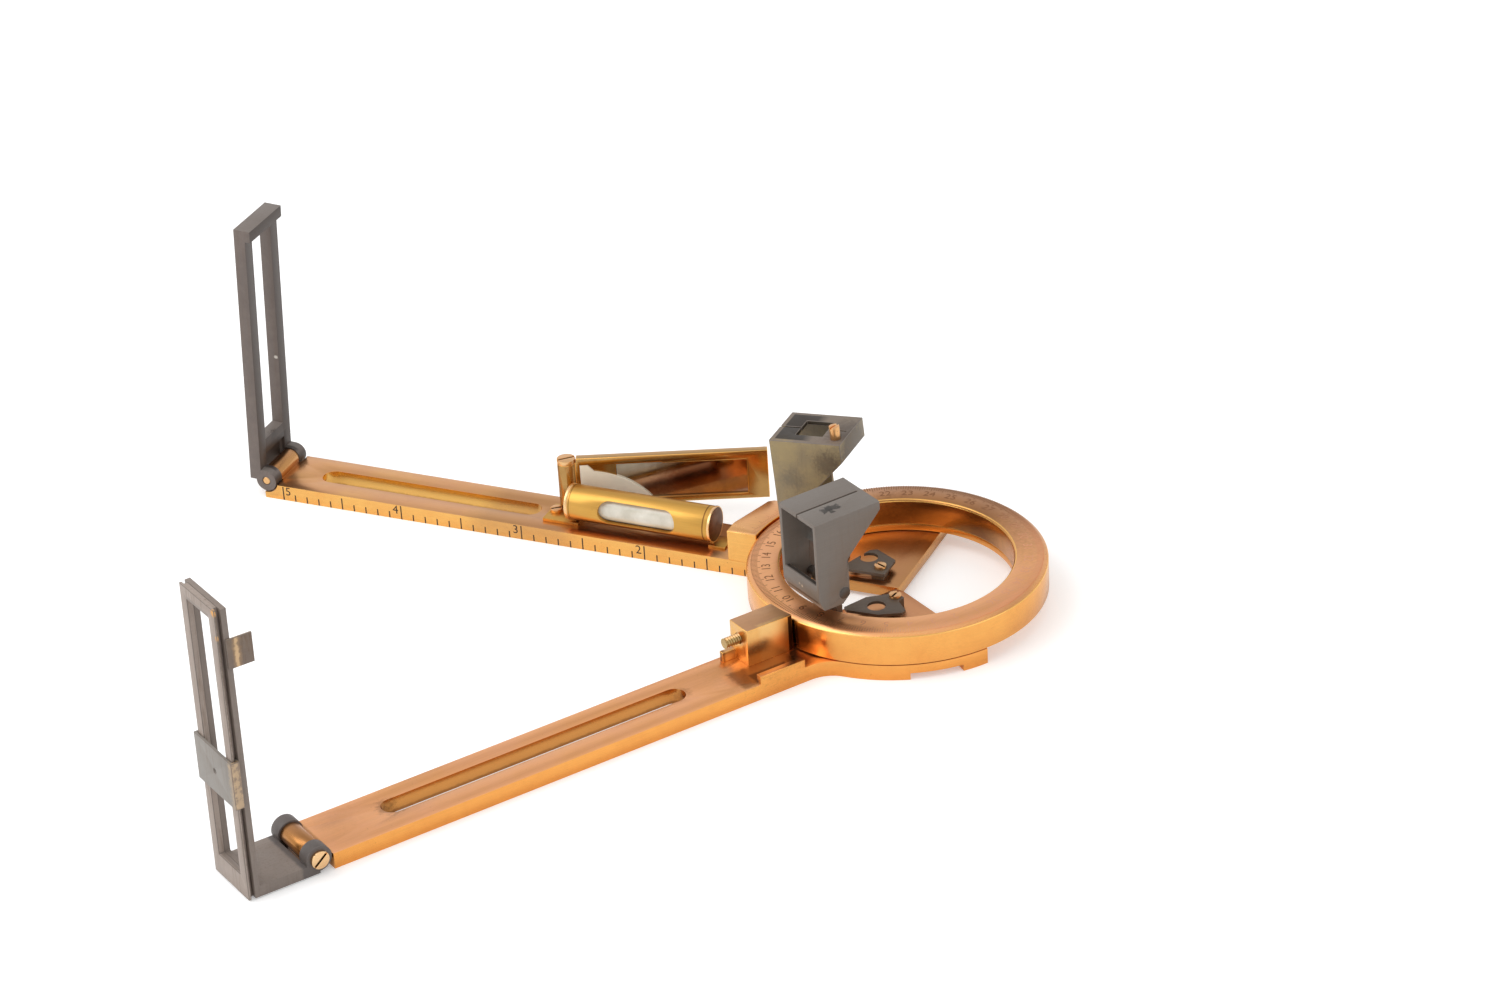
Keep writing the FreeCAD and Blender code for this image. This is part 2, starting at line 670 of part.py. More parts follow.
# A sheet clip slides in the grooves behind the edges of the front frame
GROOVE_IN = f"{FRONT_X}+fit"
GROOVE_OUT = "lower_vane_reach-front_flange-fit"
FACE = "lower_vane_reach+fit"
slider_clip = new_body("slider_clip")
rise(slider_clip, "clip_bottom", "clip_height", lambda s: path(s, [
    (GROOVE_IN, "0.15-clip_sheet"), (f"{FACE}+clip_sheet", "0.15-clip_sheet"),
    (f"{FACE}+clip_sheet", "arm_width-0.15+clip_sheet"), (GROOVE_IN, "arm_width-0.15+clip_sheet"),
    (GROOVE_IN, "arm_width-0.95"), (GROOVE_OUT, "arm_width-0.95"),
    (GROOVE_OUT, "arm_width-0.15"), (FACE, "arm_width-0.15"),
    (FACE, "0.15"), (GROOVE_OUT, "0.15"), (GROOVE_OUT, "0.95"), (GROOVE_IN, "0.95")]))
sketch = flat(slider_clip, "YZ_Plane", f"{FACE}+clip_sheet+0.1")
circle(sketch, "arm_width/2", "clip_bottom+clip_height/2", "0.5")
cut(slider_clip, sketch, "clip_sheet+0.2")
put_vane(slider_clip)


# Mirror boxes; x outward and z up from the pivot

def sight_box(label, side, inset, end, lean):
    """An open box whose back slopes at 45 degrees between an upright end and a heel."""
    pivot = f"ring_radius-{inset}"
    box_end = "box_edge+box_width"
    heel_top = f"(box_top-{end}-box_back+box_heel)"

    def back_x(z, depth):
        """Where the slope stands at a height, a depth inside its outer face."""
        return f"box_top-{end}-box_back-({z})+({depth})*sqrt(2)"

    shell = new_body(label)
    widen(shell, side, "box_edge", box_end, lambda s: path(s, [
        ("box_front", "box_top"), ("-box_back", "box_top"), ("-box_back", f"box_top-{end}"),
        ("-box_heel", heel_top), ("-box_heel", "-box_bottom/3"), ("box_heel/3", "-box_bottom"),
        ("box_front-1", "-box_bottom"), ("box_front", "0.2")]))
    inner_top = "box_top-box_wall"
    bore(shell, side, "box_edge+box_wall", f"{box_end}-box_wall", lambda s: path(s, [
        ("box_front+1", inner_top), ("box_wall-box_back", inner_top),
        ("box_wall-box_back", f"box_top-{end}+box_wall*(sqrt(2)-1)"),
        (back_x(heel_top, "box_wall"), heel_top),
        ("-box_heel-0.5", heel_top), ("-box_heel-0.5", "-box_bottom-0.5"),
        ("box_front+1", "-box_bottom-0.5")]))
    widen(shell, side, "box_edge+box_wall-0.1", f"{box_end}-box_wall+0.1",
          lambda s: path(s, [("box_front-1", "3"), ("box_front-1", "0.2"), ("box_front-2", "-box_bottom"),
                             ("box_front-1", "-box_bottom"), ("box_front", "0.2"), ("box_front", "3")]))
    bore(shell, side, "-0.1", "arm_width", lambda s: circle(s, "0", "0", "pin_radius+fit"))
    put(shell, side, pivot, "0", "box_pivot_height", (0, 1, 0), value(lean))

    glass = new_body(label + "_mirror")
    low = f"{heel_top}+0.4"
    high = f"box_top-{end}-0.1"
    front = "box_wall+box_mirror"
    widen(glass, side, "box_edge+box_wall+fit", f"{box_end}-box_wall-fit", lambda s: path(s, [
        (back_x(low, "box_wall"), low), (back_x(low, front), low),
        (back_x(high, front), high), (back_x(high, "box_wall"), high)]))
    put(glass, side, pivot, "0", "box_pivot_height", (0, 1, 0), value(lean))

    rivet_end = "box_width+0.2"
    rivet = turned(label + "_rivet", [
        ("0", "-0.2"), ("pin_radius+0.15", "-0.2"), ("pin_radius+0.4", "0"), ("pin_radius", "0"),
        ("pin_radius", "box_width"), ("pin_radius+0.4", "box_width"), ("pin_radius+0.15", rivet_end),
        ("0", rivet_end)])
    put(rivet, side, pivot, "box_edge", "box_pivot_height", (1, 0, 0), -90 * side)
    return shell


def slit(body, side, start, end):
    """A narrow slit along the middle of a box's top."""
    sink(body, "box_top+0.1", "box_wall+0.2",
         lambda s: box(s, start, across(side, "box_edge+box_width/2-0.2"),
                       end, across(side, "box_edge+box_width/2+0.2")))


lower_box = sight_box("lower_box", LOWER, "lower_box_inset", "lower_box_end", "lower_box_lean")
slit(lower_box, LOWER, "-box_back+0.9", "box_front+0.1")

# The top of the upper box has a square window, with a slit in from the mouth and one behind
upper_box = sight_box("upper_box", UPPER, "upper_box_inset", "upper_box_end", "upper_box_lean")
sink(upper_box, "box_top+0.1", "box_wall+0.2",
     lambda s: box(s, "-box_back+4.5", across(UPPER, "box_edge+box_width/2-2.8"),
                   "box_front-4.1", across(UPPER, "box_edge+box_width/2+2.8")))
slit(upper_box, UPPER, "box_front-4.2", "box_front+0.1")
slit(upper_box, UPPER, "-box_back+0.9", "-box_back+2.7")
BOX_SCREW_T = "box_edge+2.6"
BOX_SCREW_X = "1.8-box_back"
sink(upper_box, "box_top+0.1", "box_wall+0.2",
     lambda s: circle(s, BOX_SCREW_X, across(UPPER, BOX_SCREW_T), "0.6+fit"))
box_screw = screw("box_screw", "0.95", "2.5", "0.6", "0.7", 70)
lean = Rotation(Vector(0, 1, 0), value("upper_box_lean"))
spot = Vector(value(BOX_SCREW_X), value(across(UPPER, BOX_SCREW_T)), value("box_top"))
pivot = Vector(value("ring_radius-upper_box_inset"), 0, value("box_pivot_height"))
box_screw.Placement = arm_frame(UPPER).multiply(Placement(pivot + lean.multVec(spot), lean))


# Brackets that carry the boxes, and the leaf springs under them

def bracket(label, side, floor, inset):
    body = new_body(label)
    start = "bracket_edge"
    end = "bracket_edge+bracket_width"
    pivot = f"ring_radius-{inset}"
    face = f"{pivot}-bracket_set"
    widen(body, side, start, end, lambda s: path(s, [
        (f"{face}-4.4", floor), (face, floor), (face, "9"),
        (f"{pivot}+1.1", "box_pivot_height-0.6"), (f"{pivot}-1.1", "box_pivot_height+0.6"),
        (f"{face}-1.1", "9.8"), (f"{face}-1.1", f"{floor}+0.9"), (f"{face}-4.4", f"{floor}+0.9")]))
    widen(body, side, start, end, lambda s: circle(s, pivot, "box_pivot_height", "1.3"))
    bore(body, side, start, end, lambda s: circle(s, pivot, "box_pivot_height", "pin_radius+fit"))
    return put(body, side)


def leaf_spring(label, side, floor, arm, outline, hole, screw_at):
    """A sheet held clear of the plate by a foot under its inner end, with a round hole."""
    body = new_body(label)
    top = f"{floor}+leaf_top"
    rise(body, f"{floor}+leaf_top-leaf_sheet", "leaf_sheet",
         lambda s: path(s, [(x, across(side, t)) for x, t in outline]))
    foot_x, foot_t = screw_at
    rise(body, floor, "leaf_top-0.1", lambda s: box(
        s, f"{foot_x}-1", across(side, f"{foot_t}-1.3"), f"{foot_x}+1.3", across(side, f"{foot_t}+1.3")))
    sink(body, f"{top}+0.1", "leaf_sheet+0.2", lambda s: circle(s, hole[0], across(side, hole[1]), "leaf_hole"))
    sink(body, f"{top}+0.1", "leaf_top+0.2", lambda s: circle(s, foot_x, across(side, foot_t), "0.6+fit"))
    sink(arm, floor, "1.5", lambda s: circle(s, foot_x, across(side, foot_t), "0.6+fit"))
    put(body, side)
    fixing = screw(label + "_screw", "1.1", "0.6", "0.6", "leaf_top+1.3", 25 * side)
    put(fixing, side, foot_x, foot_t, top)
    return body


PLATE_TOP = "arm_thick-slide_gap"
bracket("lower_bracket", LOWER, "arm_thick", "lower_box_inset")
bracket("upper_bracket", UPPER, PLATE_TOP, "upper_box_inset")
leaf_spring("lower_leaf", LOWER, "arm_thick", lower_arm,
            [("3", "3.7"), ("4.6", "3.3"), ("8.3", "1.7"), ("leaf_end", "2.1"), ("leaf_end+0.2", "3.2"),
             ("10.2", "8.1"), ("6.4", "10.3"), ("5.4", "9.9"), ("4.5", "6.4"), ("3", "6.1")],
            ("8.6", "5.4"), ("4.1", "4.9"))
leaf_spring("upper_leaf", UPPER, PLATE_TOP, upper_arm,
            [("3", "0.9"), ("leaf_end-3", "0.8"), ("leaf_end-2.2", "2.2"), ("8.8", "8.4"), ("7.6", "9.1"),
             ("3", "6.4")],
            ("8", "5.9"), ("4.6", "3"))


# Checks and export

doc.recompute()
for item in doc.Objects:
    if "Invalid" in item.State or "Error" in item.State:
        raise RuntimeError("not built: " + item.Label)
for body in pieces:
    if body.Shape.isNull() or not body.Shape.isValid() or len(body.Shape.Solids) != 1:
        raise RuntimeError("bad shape: " + body.Label)
os.makedirs("parts", exist_ok=True)
for body in pieces:
    body.Shape.exportStep("parts/" + body.Label + ".step")
print(len(pieces), "pieces")
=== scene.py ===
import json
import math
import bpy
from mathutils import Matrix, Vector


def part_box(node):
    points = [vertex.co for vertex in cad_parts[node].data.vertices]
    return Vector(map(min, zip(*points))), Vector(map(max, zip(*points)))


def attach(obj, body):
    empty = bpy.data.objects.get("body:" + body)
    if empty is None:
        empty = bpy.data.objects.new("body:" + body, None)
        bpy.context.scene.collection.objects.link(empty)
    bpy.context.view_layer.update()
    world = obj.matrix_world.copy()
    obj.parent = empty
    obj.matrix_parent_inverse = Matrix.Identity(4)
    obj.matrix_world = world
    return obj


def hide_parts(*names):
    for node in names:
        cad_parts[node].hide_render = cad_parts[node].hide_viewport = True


bl_info = {
    "name": "Surveying Protractor",
    "version": (1, 0, 0),
    "blender": (4, 5, 0),
    "location": "View3D > Sidebar > Protractor",
    "description": "Dresses a folding surveying protractor in aged brass, with engraved scales",
    "category": "Object",
}

from functools import partial

import bmesh
import bpy
from bpy.props import FloatProperty, FloatVectorProperty, IntProperty, PointerProperty
from mathutils import Matrix, Vector

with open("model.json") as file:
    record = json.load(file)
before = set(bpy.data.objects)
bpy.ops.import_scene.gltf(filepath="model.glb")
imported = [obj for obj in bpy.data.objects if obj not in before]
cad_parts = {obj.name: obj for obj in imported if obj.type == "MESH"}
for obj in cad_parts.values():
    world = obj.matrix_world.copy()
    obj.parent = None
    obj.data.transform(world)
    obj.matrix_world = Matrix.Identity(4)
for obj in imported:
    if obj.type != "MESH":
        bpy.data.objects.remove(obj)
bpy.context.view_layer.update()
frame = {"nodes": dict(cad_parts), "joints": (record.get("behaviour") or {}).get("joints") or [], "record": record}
NODES = frame["nodes"]
BODY_OF = {node: body for body, nodes in frame["record"]["behaviour"]["bodies"].items() for node in nodes}

MM = 0.001
INCH = 25.4
OPENING = math.radians(56.63)

# In the frame of an arm, x runs out from the ring's axis, y across the arm and z up. The lower
# arm lies at y above 0, and the upper arm, swung by the opening angle, at y below 0.
LOWER_ARM = Matrix.Identity(4)
UPPER_ARM = Matrix.Rotation(-OPENING, 4, "Z")

# Places in mm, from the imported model
CLAMP_AXIS = next(Vector(joint["pos_m"]) / MM for joint in frame["joints"] if joint["name"] == "clamp_turn")
RING_TOP = round(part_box("divided_ring")[1][2] / MM, 3)
VERNIER_TOP = round(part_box("vernier_block")[1][2] / MM, 3)


# Settings

def colour_setting(name, description, default):
    return FloatVectorProperty(name=name, description=description, subtype="COLOR", size=3, min=0, max=1,
                               default=default)


def length_setting(name, description, default, largest):
    return FloatProperty(name=name, description=description + " in millimetres", min=0.01, max=largest,
                         default=default)


def edge_setting(name, pieces, default):
    return length_setting(name, "Width of the softened edges of " + pieces, default, 0.5)


class BrassLook(bpy.types.PropertyGroup):
    lower: colour_setting("Lower arm", "Clean brass of the lower arm", (0.93, 0.42, 0.105))
    upper: colour_setting("Upper arm", "Clean brass of the upper arm", (0.93, 0.52, 0.15))
    ring: colour_setting("Ring", "Clean brass of the divided ring", (0.93, 0.45, 0.12))
    aged: colour_setting("Aged brass", "Thin brown tarnish", (0.78, 0.31, 0.08))
    veil: colour_setting("Veil", "Dull bloom on the faces that look up", (0.95, 0.475, 0.27))
    # Grime also stands for painted shade at the outer end of the lower slot and in the recess beside the clamp
    # block.
    grime: colour_setting("Grime", "Dark specks and dirt in corners", (0.12, 0.045, 0.02))
    lacquer: colour_setting("Lacquered brass", "Golden lacquer of the level tube", (0.68, 0.38, 0.09))
    tray: colour_setting("Mirror tray", "Dull greenish brass of the swinging mirror", (0.52, 0.31, 0.11))
    roughness: FloatProperty(name="Roughness", description="Roughness of clean brass",
                             min=0.05, max=1, default=0.21)


class BlackLook(bpy.types.PropertyGroup):
    lower_vane: colour_setting("Lower vane", "Greyed blackening of the lower vane", (0.33, 0.265, 0.225))
    upper_vane: colour_setting("Upper vane", "Blackening of the upper vane", (0.135, 0.106, 0.092))
    lower_box: colour_setting("Lower box", "Blackening of the lower mirror box", (0.165, 0.138, 0.115))
    upper_box: colour_setting("Upper box", "Green and brown patina of the upper mirror box",
                              (0.24, 0.19, 0.11))
    fittings: colour_setting("Fittings", "Blackening of brackets and leaf springs", (0.085, 0.062, 0.045))
    bare: colour_setting("Bare brass", "Brass that shows through the blackening", (0.78, 0.42, 0.14))
    roughness: FloatProperty(name="Roughness", description="Roughness of the blackened faces",
                             min=0.05, max=1, default=0.42)


class ScaleMarks(bpy.types.PropertyGroup):
    ink: colour_setting("Filled marks", "Wax in the marks of the inch scale", (0.045, 0.022, 0.010))
    faint: colour_setting("Faint marks", "Marks of the ring and the vernier", (0.30, 0.13, 0.05))
    stroke: length_setting("Stroke", "Width of a mark on the inch scale", 0.24, 0.5)
    fine_stroke: length_setting("Fine stroke", "Width of a mark on the ring and the vernier", 0.11, 0.3)
    figure: length_setting("Figure height", "Height of the figures on the inch scale", 1.75, 3)
    ring_figure: length_setting("Ring figure height", "Height of the figures on the ring", 1.65, 3)
    degrees_per_figure: IntProperty(name="Degrees per figure", description="Spacing of the ring's figures",
                                    min=5, max=90, default=10)


class EdgeLook(bpy.types.PropertyGroup):
    brass: edge_setting("Brass edges", "the arms and blocks", 0.14)
    black: edge_setting("Black edges", "the vanes and boxes", 0.12)
    turned: edge_setting("Turned edges", "the divided ring, the level tube and the mirror tray", 0.12)
    thin: edge_setting("Thin edges", "the base ring and the brackets", 0.10)
    sheet: edge_setting("Sheet edges", "the clip, the catch and the rivets", 0.08)
    hinge: edge_setting("Hinge edges", "the screw of the lower vane's hinge", 0.07)
    screw: edge_setting("Screw edges", "the small screws and the leaf springs", 0.06)


class StageLook(bpy.types.PropertyGroup):
    floor: colour_setting("Floor", "Colour of the table", (0.90, 0.90, 0.90))
    lens: FloatProperty(name="Lens", description="Focal length of the camera on a 36 mm wide sensor",
                        subtype="DISTANCE_CAMERA", unit="CAMERA", default=106.16)
    key: FloatProperty(name="Key light", description="Power of the large soft light",
                       subtype="POWER", unit="POWER", default=5.5)


LOOKS = {"brass": BrassLook, "black": BlackLook, "marks": ScaleMarks, "edges": EdgeLook, "stage": StageLook}


def look(name):
    return getattr(bpy.context.scene, "protractor_" + name)


# Shader helpers

def add(tree, kind, **values):
    """A shader node of a kind, with its settings and its inputs set by name."""
    node = tree.nodes.new("ShaderNode" + kind)
    for key, value in values.items():
        if hasattr(node, key):
            setattr(node, key, value)
        else:
            node.inputs[key.replace("_", " ")].default_value = value
    return node


def feed(tree, source, socket):
    """Link a socket to its source, or set it where the source is a number or a colour."""
    if isinstance(source, bpy.types.NodeSocket):
        tree.links.new(source, socket)
    elif source is not None:
        socket.default_value = (*source, 1) if socket.type == "RGBA" and len(source) == 3 else source


def ramp(tree, source, *stops):
    """Grey levels at positions along a value: each stop is a position and a level."""
    node = add(tree, "ValToRGB")
    while len(node.color_ramp.elements) < len(stops):
        node.color_ramp.elements.new(0.5)
    for element, (position, level) in zip(node.color_ramp.elements, stops):
        element.position = position
        element.color = (level, level, level, 1)
    feed(tree, source, node.inputs["Fac"])
    return node.outputs["Color"]


def mix(tree, factor, a, b, blend="MIX"):
    node = add(tree, "Mix", data_type="RGBA", blend_type=blend)
    feed(tree, factor, node.inputs[0])
    feed(tree, a, node.inputs[6])
    feed(tree, b, node.inputs[7])
    return node.outputs[2]


def maths(tree, operation, a, b=None, clamp=False):
    node = add(tree, "Math", operation=operation, use_clamp=clamp)
    feed(tree, a, node.inputs[0])
    feed(tree, b, node.inputs[1])
    return node.outputs[0]


def plus(tree, a, b):
    return maths(tree, "ADD", a, b)


def times(tree, a, b, clamp=False):
    return maths(tree, "MULTIPLY", a, b, clamp)


def vectors(tree, operation, a, b=None, output="Vector"):
    node = add(tree, "VectorMath", operation=operation)
    feed(tree, a, node.inputs[0])
    feed(tree, b, node.inputs[1])
    return node.outputs[output]


def split(tree, vector):
    node = add(tree, "SeparateXYZ")
    feed(tree, vector, node.inputs["Vector"])
    return node.outputs["X"], node.outputs["Y"], node.outputs["Z"]


def noise(tree, point, scale, detail=4.0, roughness=0.6):
    node = add(tree, "TexNoise", Scale=scale, Detail=detail, Roughness=roughness)
    feed(tree, point, node.inputs["Vector"])
    return node.outputs["Fac"]


def stretched(tree, point, scale):
    node = add(tree, "Mapping", Scale=scale)
    feed(tree, point, node.inputs["Vector"])
    return node.outputs["Vector"]


def point_in_mm(tree):
    place = add(tree, "TexCoord").outputs["Object"]
    return stretched(tree, place, (1 / MM, 1 / MM, 1 / MM))


def face_direction(tree):
    return add(tree, "TexCoord").outputs["Normal"]


def turned(tree, point, angle):
    node = add(tree, "VectorRotate", rotation_type="Z_AXIS")
    feed(tree, point, node.inputs["Vector"])
    feed(tree, angle, node.inputs["Angle"])
    return node.outputs["Vector"]


def torn_edge(tree, point, scale, amount):
    """A noisy offset about 0 that tears the edge of a stain or of painted shade."""
    return times(tree, maths(tree, "SUBTRACT", noise(tree, point, scale), 0.5), amount)


def new_group(name, inputs, outputs):
    tree = bpy.data.node_groups.new(name, "ShaderNodeTree")
    for title, kind, default in inputs:
        socket = tree.interface.new_socket(title, in_out="INPUT", socket_type="NodeSocket" + kind)
        if default is not None:
            socket.default_value = default
    for title, kind in outputs:
        tree.interface.new_socket(title, in_out="OUTPUT", socket_type="NodeSocket" + kind)
    return tree, tree.nodes.new("NodeGroupInput").outputs, tree.nodes.new("NodeGroupOutput").inputs


def tarnish_group():
    """Cloudy tarnish, a bloom on faces that look up, dark specks and drawn wear lines."""
    tree, source, out = new_group(
        "tarnish",
        [("Fresh", "Color", (0.9, 0.5, 0.2, 1)), ("Aged", "Color", (0.6, 0.3, 0.1, 1)),
         ("Veil", "Color", (0.8, 0.4, 0.2, 1)), ("Grime", "Color", (0.1, 0.05, 0.02, 1)),
         ("Cloud", "Float", 0.5), ("Veil Share", "Float", 0.7), ("Specks", "Float", 0.5),
         ("Roughness", "Float", 0.3), ("Grain Angle", "Float", 0.0)],
        [("Color", "Color"), ("Roughness", "Float"), ("Height", "Float")])
    point = point_in_mm(tree)
    blotch = noise(tree, point, 0.5, detail=6.0, roughness=0.68)
    drawn = stretched(tree, turned(tree, point, source["Grain Angle"]), (0.12, 5.0, 5.0))
    grain = noise(tree, drawn, 1.0, roughness=0.7)

    # Fresh metal goes over to aged metal in clouds and spots
    clouds = ramp(tree, noise(tree, point, 0.10), (0.36, 0), (0.66, 1))
    spots = ramp(tree, blotch, (0.44, 0), (0.68, 1))
    both = plus(tree, times(tree, clouds, 0.55), times(tree, spots, 0.45))
    share = times(tree, both, source["Cloud"], clamp=True)
    body = mix(tree, share, source["Fresh"], source["Aged"])

    # The bloom lies on the faces that look up, thinner between the clouds
    upward = ramp(tree, split(tree, face_direction(tree))[2], (0.6, 0), (0.95, 1))
    uneven = plus(tree, times(tree, clouds, 0.35), 0.72)
    bloom = times(tree, times(tree, upward, source["Veil Share"]), uneven, clamp=True)
    body = mix(tree, bloom, body, source["Veil"])

    specks = ramp(tree, noise(tree, point, 2.4, detail=3.0, roughness=0.5), (0.69, 0), (0.78, 1))
    fleck = times(tree, specks, source["Specks"])
    body = mix(tree, fleck, body, source["Grime"])
    lines = ramp(tree, grain, (0.35, 0.93), (0.62, 1))
    feed(tree, mix(tree, 1.0, body, lines, "MULTIPLY"), out["Color"])

    rough = plus(tree, source["Roughness"], times(tree, share, 0.10))
    rough = plus(tree, rough, times(tree, bloom, 0.13))
    feed(tree, plus(tree, rough, times(tree, fleck, 0.25)), out["Roughness"])
    height = plus(tree, times(tree, grain, 0.4), times(tree, fleck, -0.6))
    feed(tree, plus(tree, height, times(tree, blotch, 0.25)), out["Height"])
    return tree


def worn_spot_group():
    """A round mask for a stain or for painted shade: 1 at its centre, with a broken or a soft edge, 0 beyond its
    radius.
    """
    tree, source, out = new_group(
        "round_spot",
        [("Centre", "Vector", None), ("Radius", "Float", 1.0), ("Fade", "Float", 0.3),
         ("Raggedness", "Float", 0.8)],
        [("Mask", "Float")])
    point = point_in_mm(tree)
    gap = vectors(tree, "DISTANCE", point, source["Centre"], output="Value")
    torn = torn_edge(tree, point, 1.6, source["Raggedness"])
    share = plus(tree, maths(tree, "DIVIDE", gap, source["Radius"]), torn)
    inside = maths(tree, "DIVIDE", maths(tree, "SUBTRACT", 1.0, share), source["Fade"], clamp=True)
    feed(tree, inside, out["Mask"])
    return tree


def pocket_group():
    """A box of shade, as in a slot, a recess or along an edge: 1 inside, 0 beyond its fade in mm."""
    tree, source, out = new_group(
        "pocket",
        [("Centre", "Vector", None), ("Half Size", "Vector", None), ("Fade", "Float", 0.3),
         ("Turn", "Float", 0.0), ("Raggedness", "Float", 0.0)],
        [("Mask", "Float")])
    point = point_in_mm(tree)
    offset = vectors(tree, "SUBTRACT", point, source["Centre"])
    apart = vectors(tree, "ABSOLUTE", turned(tree, offset, source["Turn"]))
    x, y, z = split(tree, vectors(tree, "SUBTRACT", apart, source["Half Size"]))
    gap = maths(tree, "MAXIMUM", maths(tree, "MAXIMUM", x, y), z)
    torn = torn_edge(tree, point, 1.3, source["Raggedness"])
    share = maths(tree, "DIVIDE", plus(tree, gap, torn), source["Fade"])
    feed(tree, maths(tree, "SUBTRACT", 1.0, share, clamp=True), out["Mask"])
    return tree


def drawn_streaks_group():
    """Thin brown streaks that run up a blackened strip."""
    tree, source, out = new_group("drawn_streaks", [("Density", "Float", 0.5)], [("Mask", "Float")])
    drawn = stretched(tree, point_in_mm(tree), (2.2, 2.2, 0.14))
    line = noise(tree, drawn, 1.0, detail=5.0, roughness=0.7)
    feed(tree, times(tree, ramp(tree, line, (0.5, 0), (0.68, 1)), source["Density"]), out["Mask"])
    return tree


def facing_group():
    """1 on the faces that look one way, 0 on the others."""
    tree, source, out = new_group("facing", [("Direction", "Vector", None)], [("Mask", "Float")])
    share = vectors(tree, "DOT_PRODUCT", face_direction(tree), source["Direction"], output="Value")
    feed(tree, ramp(tree, share, (0.80, 0), (0.95, 1)), out["Mask"])
    return tree


MATERIALS = {}
MADE_GROUPS = {}


def group_node(tree, maker, **values):
    if maker not in MADE_GROUPS:
        MADE_GROUPS[maker] = maker()
    node = add(tree, "Group")
    node.node_tree = MADE_GROUPS[maker]
    for key, value in values.items():
        feed(tree, value, node.inputs[key.replace("_", " ")])
    return node


def new_material(name):
    material = bpy.data.materials.new(name)
    material.use_nodes = True
    MATERIALS[name] = material
    return material, material.node_tree, material.node_tree.nodes["Principled BSDF"]


# Stains and painted shade: places and sizes are in mm in the frame of their arm, and bare says that
# polished metal shows there

def spot_stain(centre, radius, tint, strength=1.0, fade=0.3, ragged=0.8, bare=False, arm=LOWER_ARM):
    """A round stain or patch of painted shade; its fade and raggedness are shares of its radius."""
    return {"maker": worn_spot_group, "tint": tint, "strength": strength, "bare": bare,
            "values": {"Centre": arm @ Vector(centre), "Radius": radius, "Fade": fade, "Raggedness": ragged}}


def box_stain(low, high, tint, strength=1.0, fade=0.3, ragged=0.0, bare=False, arm=LOWER_ARM, turn=None):
    """A stain or painted shade that fills a box between two corners, square to its arm unless it is turned."""
    low, high = Vector(low), Vector(high)
    if turn is None:
        turn = OPENING if arm is UPPER_ARM else 0.0
    return {"maker": pocket_group, "tint": tint, "strength": strength, "bare": bare,
            "values": {"Centre": arm @ ((low + high) / 2), "Half_Size": (high - low) / 2, "Fade": fade,
                       "Turn": turn, "Raggedness": ragged}}


def face_stain(direction, tint, strength=1.0, arm=LOWER_ARM):
    """Painted shade on the faces that look one way."""
    return {"maker": facing_group, "tint": tint, "strength": strength, "bare": False,
            "values": {"Direction": arm @ Vector(direction)}}


def slot_shade(centre, reach, arm=LOWER_ARM):
    """The dark floor of a screw's slot, inside the rim of its head."""
    centre, reach = Vector(centre), Vector(reach)
    return box_stain(centre - reach, centre + reach, (0.05, 0.022, 0.01), 0.95, 0.04, arm=arm)


upper_spot_stain_and_shade = partial(spot_stain, arm=UPPER_ARM)
upper_box_stain_and_shade = partial(box_stain, arm=UPPER_ARM)
upper_slot_shade = partial(slot_shade, arm=UPPER_ARM)


def skin(name, fresh, aged, veil, cloud=0.5, share=0.7, specks=0.3, roughness=0.22, metallic=1.0, angle=0.0,
         grain=0.12, streaks=0.0, stains=()):
    """A metal finish: the fresh colour clouded with the aged one, a veil on top, then each stain and each patch of
    painted shade in order.
    """
    if name in MATERIALS:
        return MATERIALS[name]
    material, tree, shader = new_material(name)
    grime = look("brass").grime[:] if metallic else (0.03, 0.022, 0.016)
    base = group_node(tree, tarnish_group, Fresh=fresh[:], Aged=aged[:], Veil=veil[:], Grime=grime,
                      Cloud=cloud, Veil_Share=share, Specks=specks, Grain_Angle=angle, Roughness=roughness)
    colour = base.outputs["Color"]
    if streaks:
        lines = group_node(tree, drawn_streaks_group, Density=streaks).outputs["Mask"]
        colour = mix(tree, lines, colour, (0.13, 0.075, 0.04))
    bare = None
    for stain in stains:
        mask = group_node(tree, stain["maker"], **stain["values"]).outputs["Mask"]
        if stain["strength"] < 1:
            mask = times(tree, mask, stain["strength"])
        colour = mix(tree, mask, colour, stain["tint"][:])
        if stain["bare"]:
            bare = mask if bare is None else maths(tree, "MAXIMUM", bare, mask)
    if bare is None:
        shader.inputs["Metallic"].default_value = metallic
    else:
        feed(tree, maths(tree, "MAXIMUM", bare, metallic), shader.inputs["Metallic"])
    feed(tree, colour, shader.inputs["Base Color"])
    feed(tree, base.outputs["Roughness"], shader.inputs["Roughness"])
    relief = add(tree, "Bump", Strength=grain, Distance=0.04 * MM)
    feed(tree, base.outputs["Height"], relief.inputs["Height"])
    feed(tree, relief.outputs["Normal"], shader.inputs["Normal"])
    return material


def scaled(colour, factor):
    return tuple(min(1.0, c * factor) for c in colour)


def brass_skin(name, fresh, **options):
    brass = look("brass")
    defaults = {"aged": brass.aged, "veil": brass.veil, "roughness": brass.roughness}
    return skin(name, fresh, **(defaults | options))


def black_skin(name, coat, **options):
    """Blackened brass: dull, with paler clouds and a paler top."""
    defaults = {"aged": scaled(coat, 1.45), "veil": scaled(coat, 1.2), "specks": 0.12,
                "roughness": look("black").roughness}
    return skin(name, coat, metallic=0.0, **(defaults | options))


def plain_skin(name, colour, roughness, mottle=0.15, scale=0.6):
    material, tree, shader = new_material(name)
    level = ramp(tree, noise(tree, point_in_mm(tree), scale, detail=5.0), (0.3, 1 - mottle), (0.7, 1))
    feed(tree, mix(tree, 1.0, colour[:], level, "MULTIPLY"), shader.inputs["Base Color"])
    shader.inputs["Roughness"].default_value = roughness
    return material


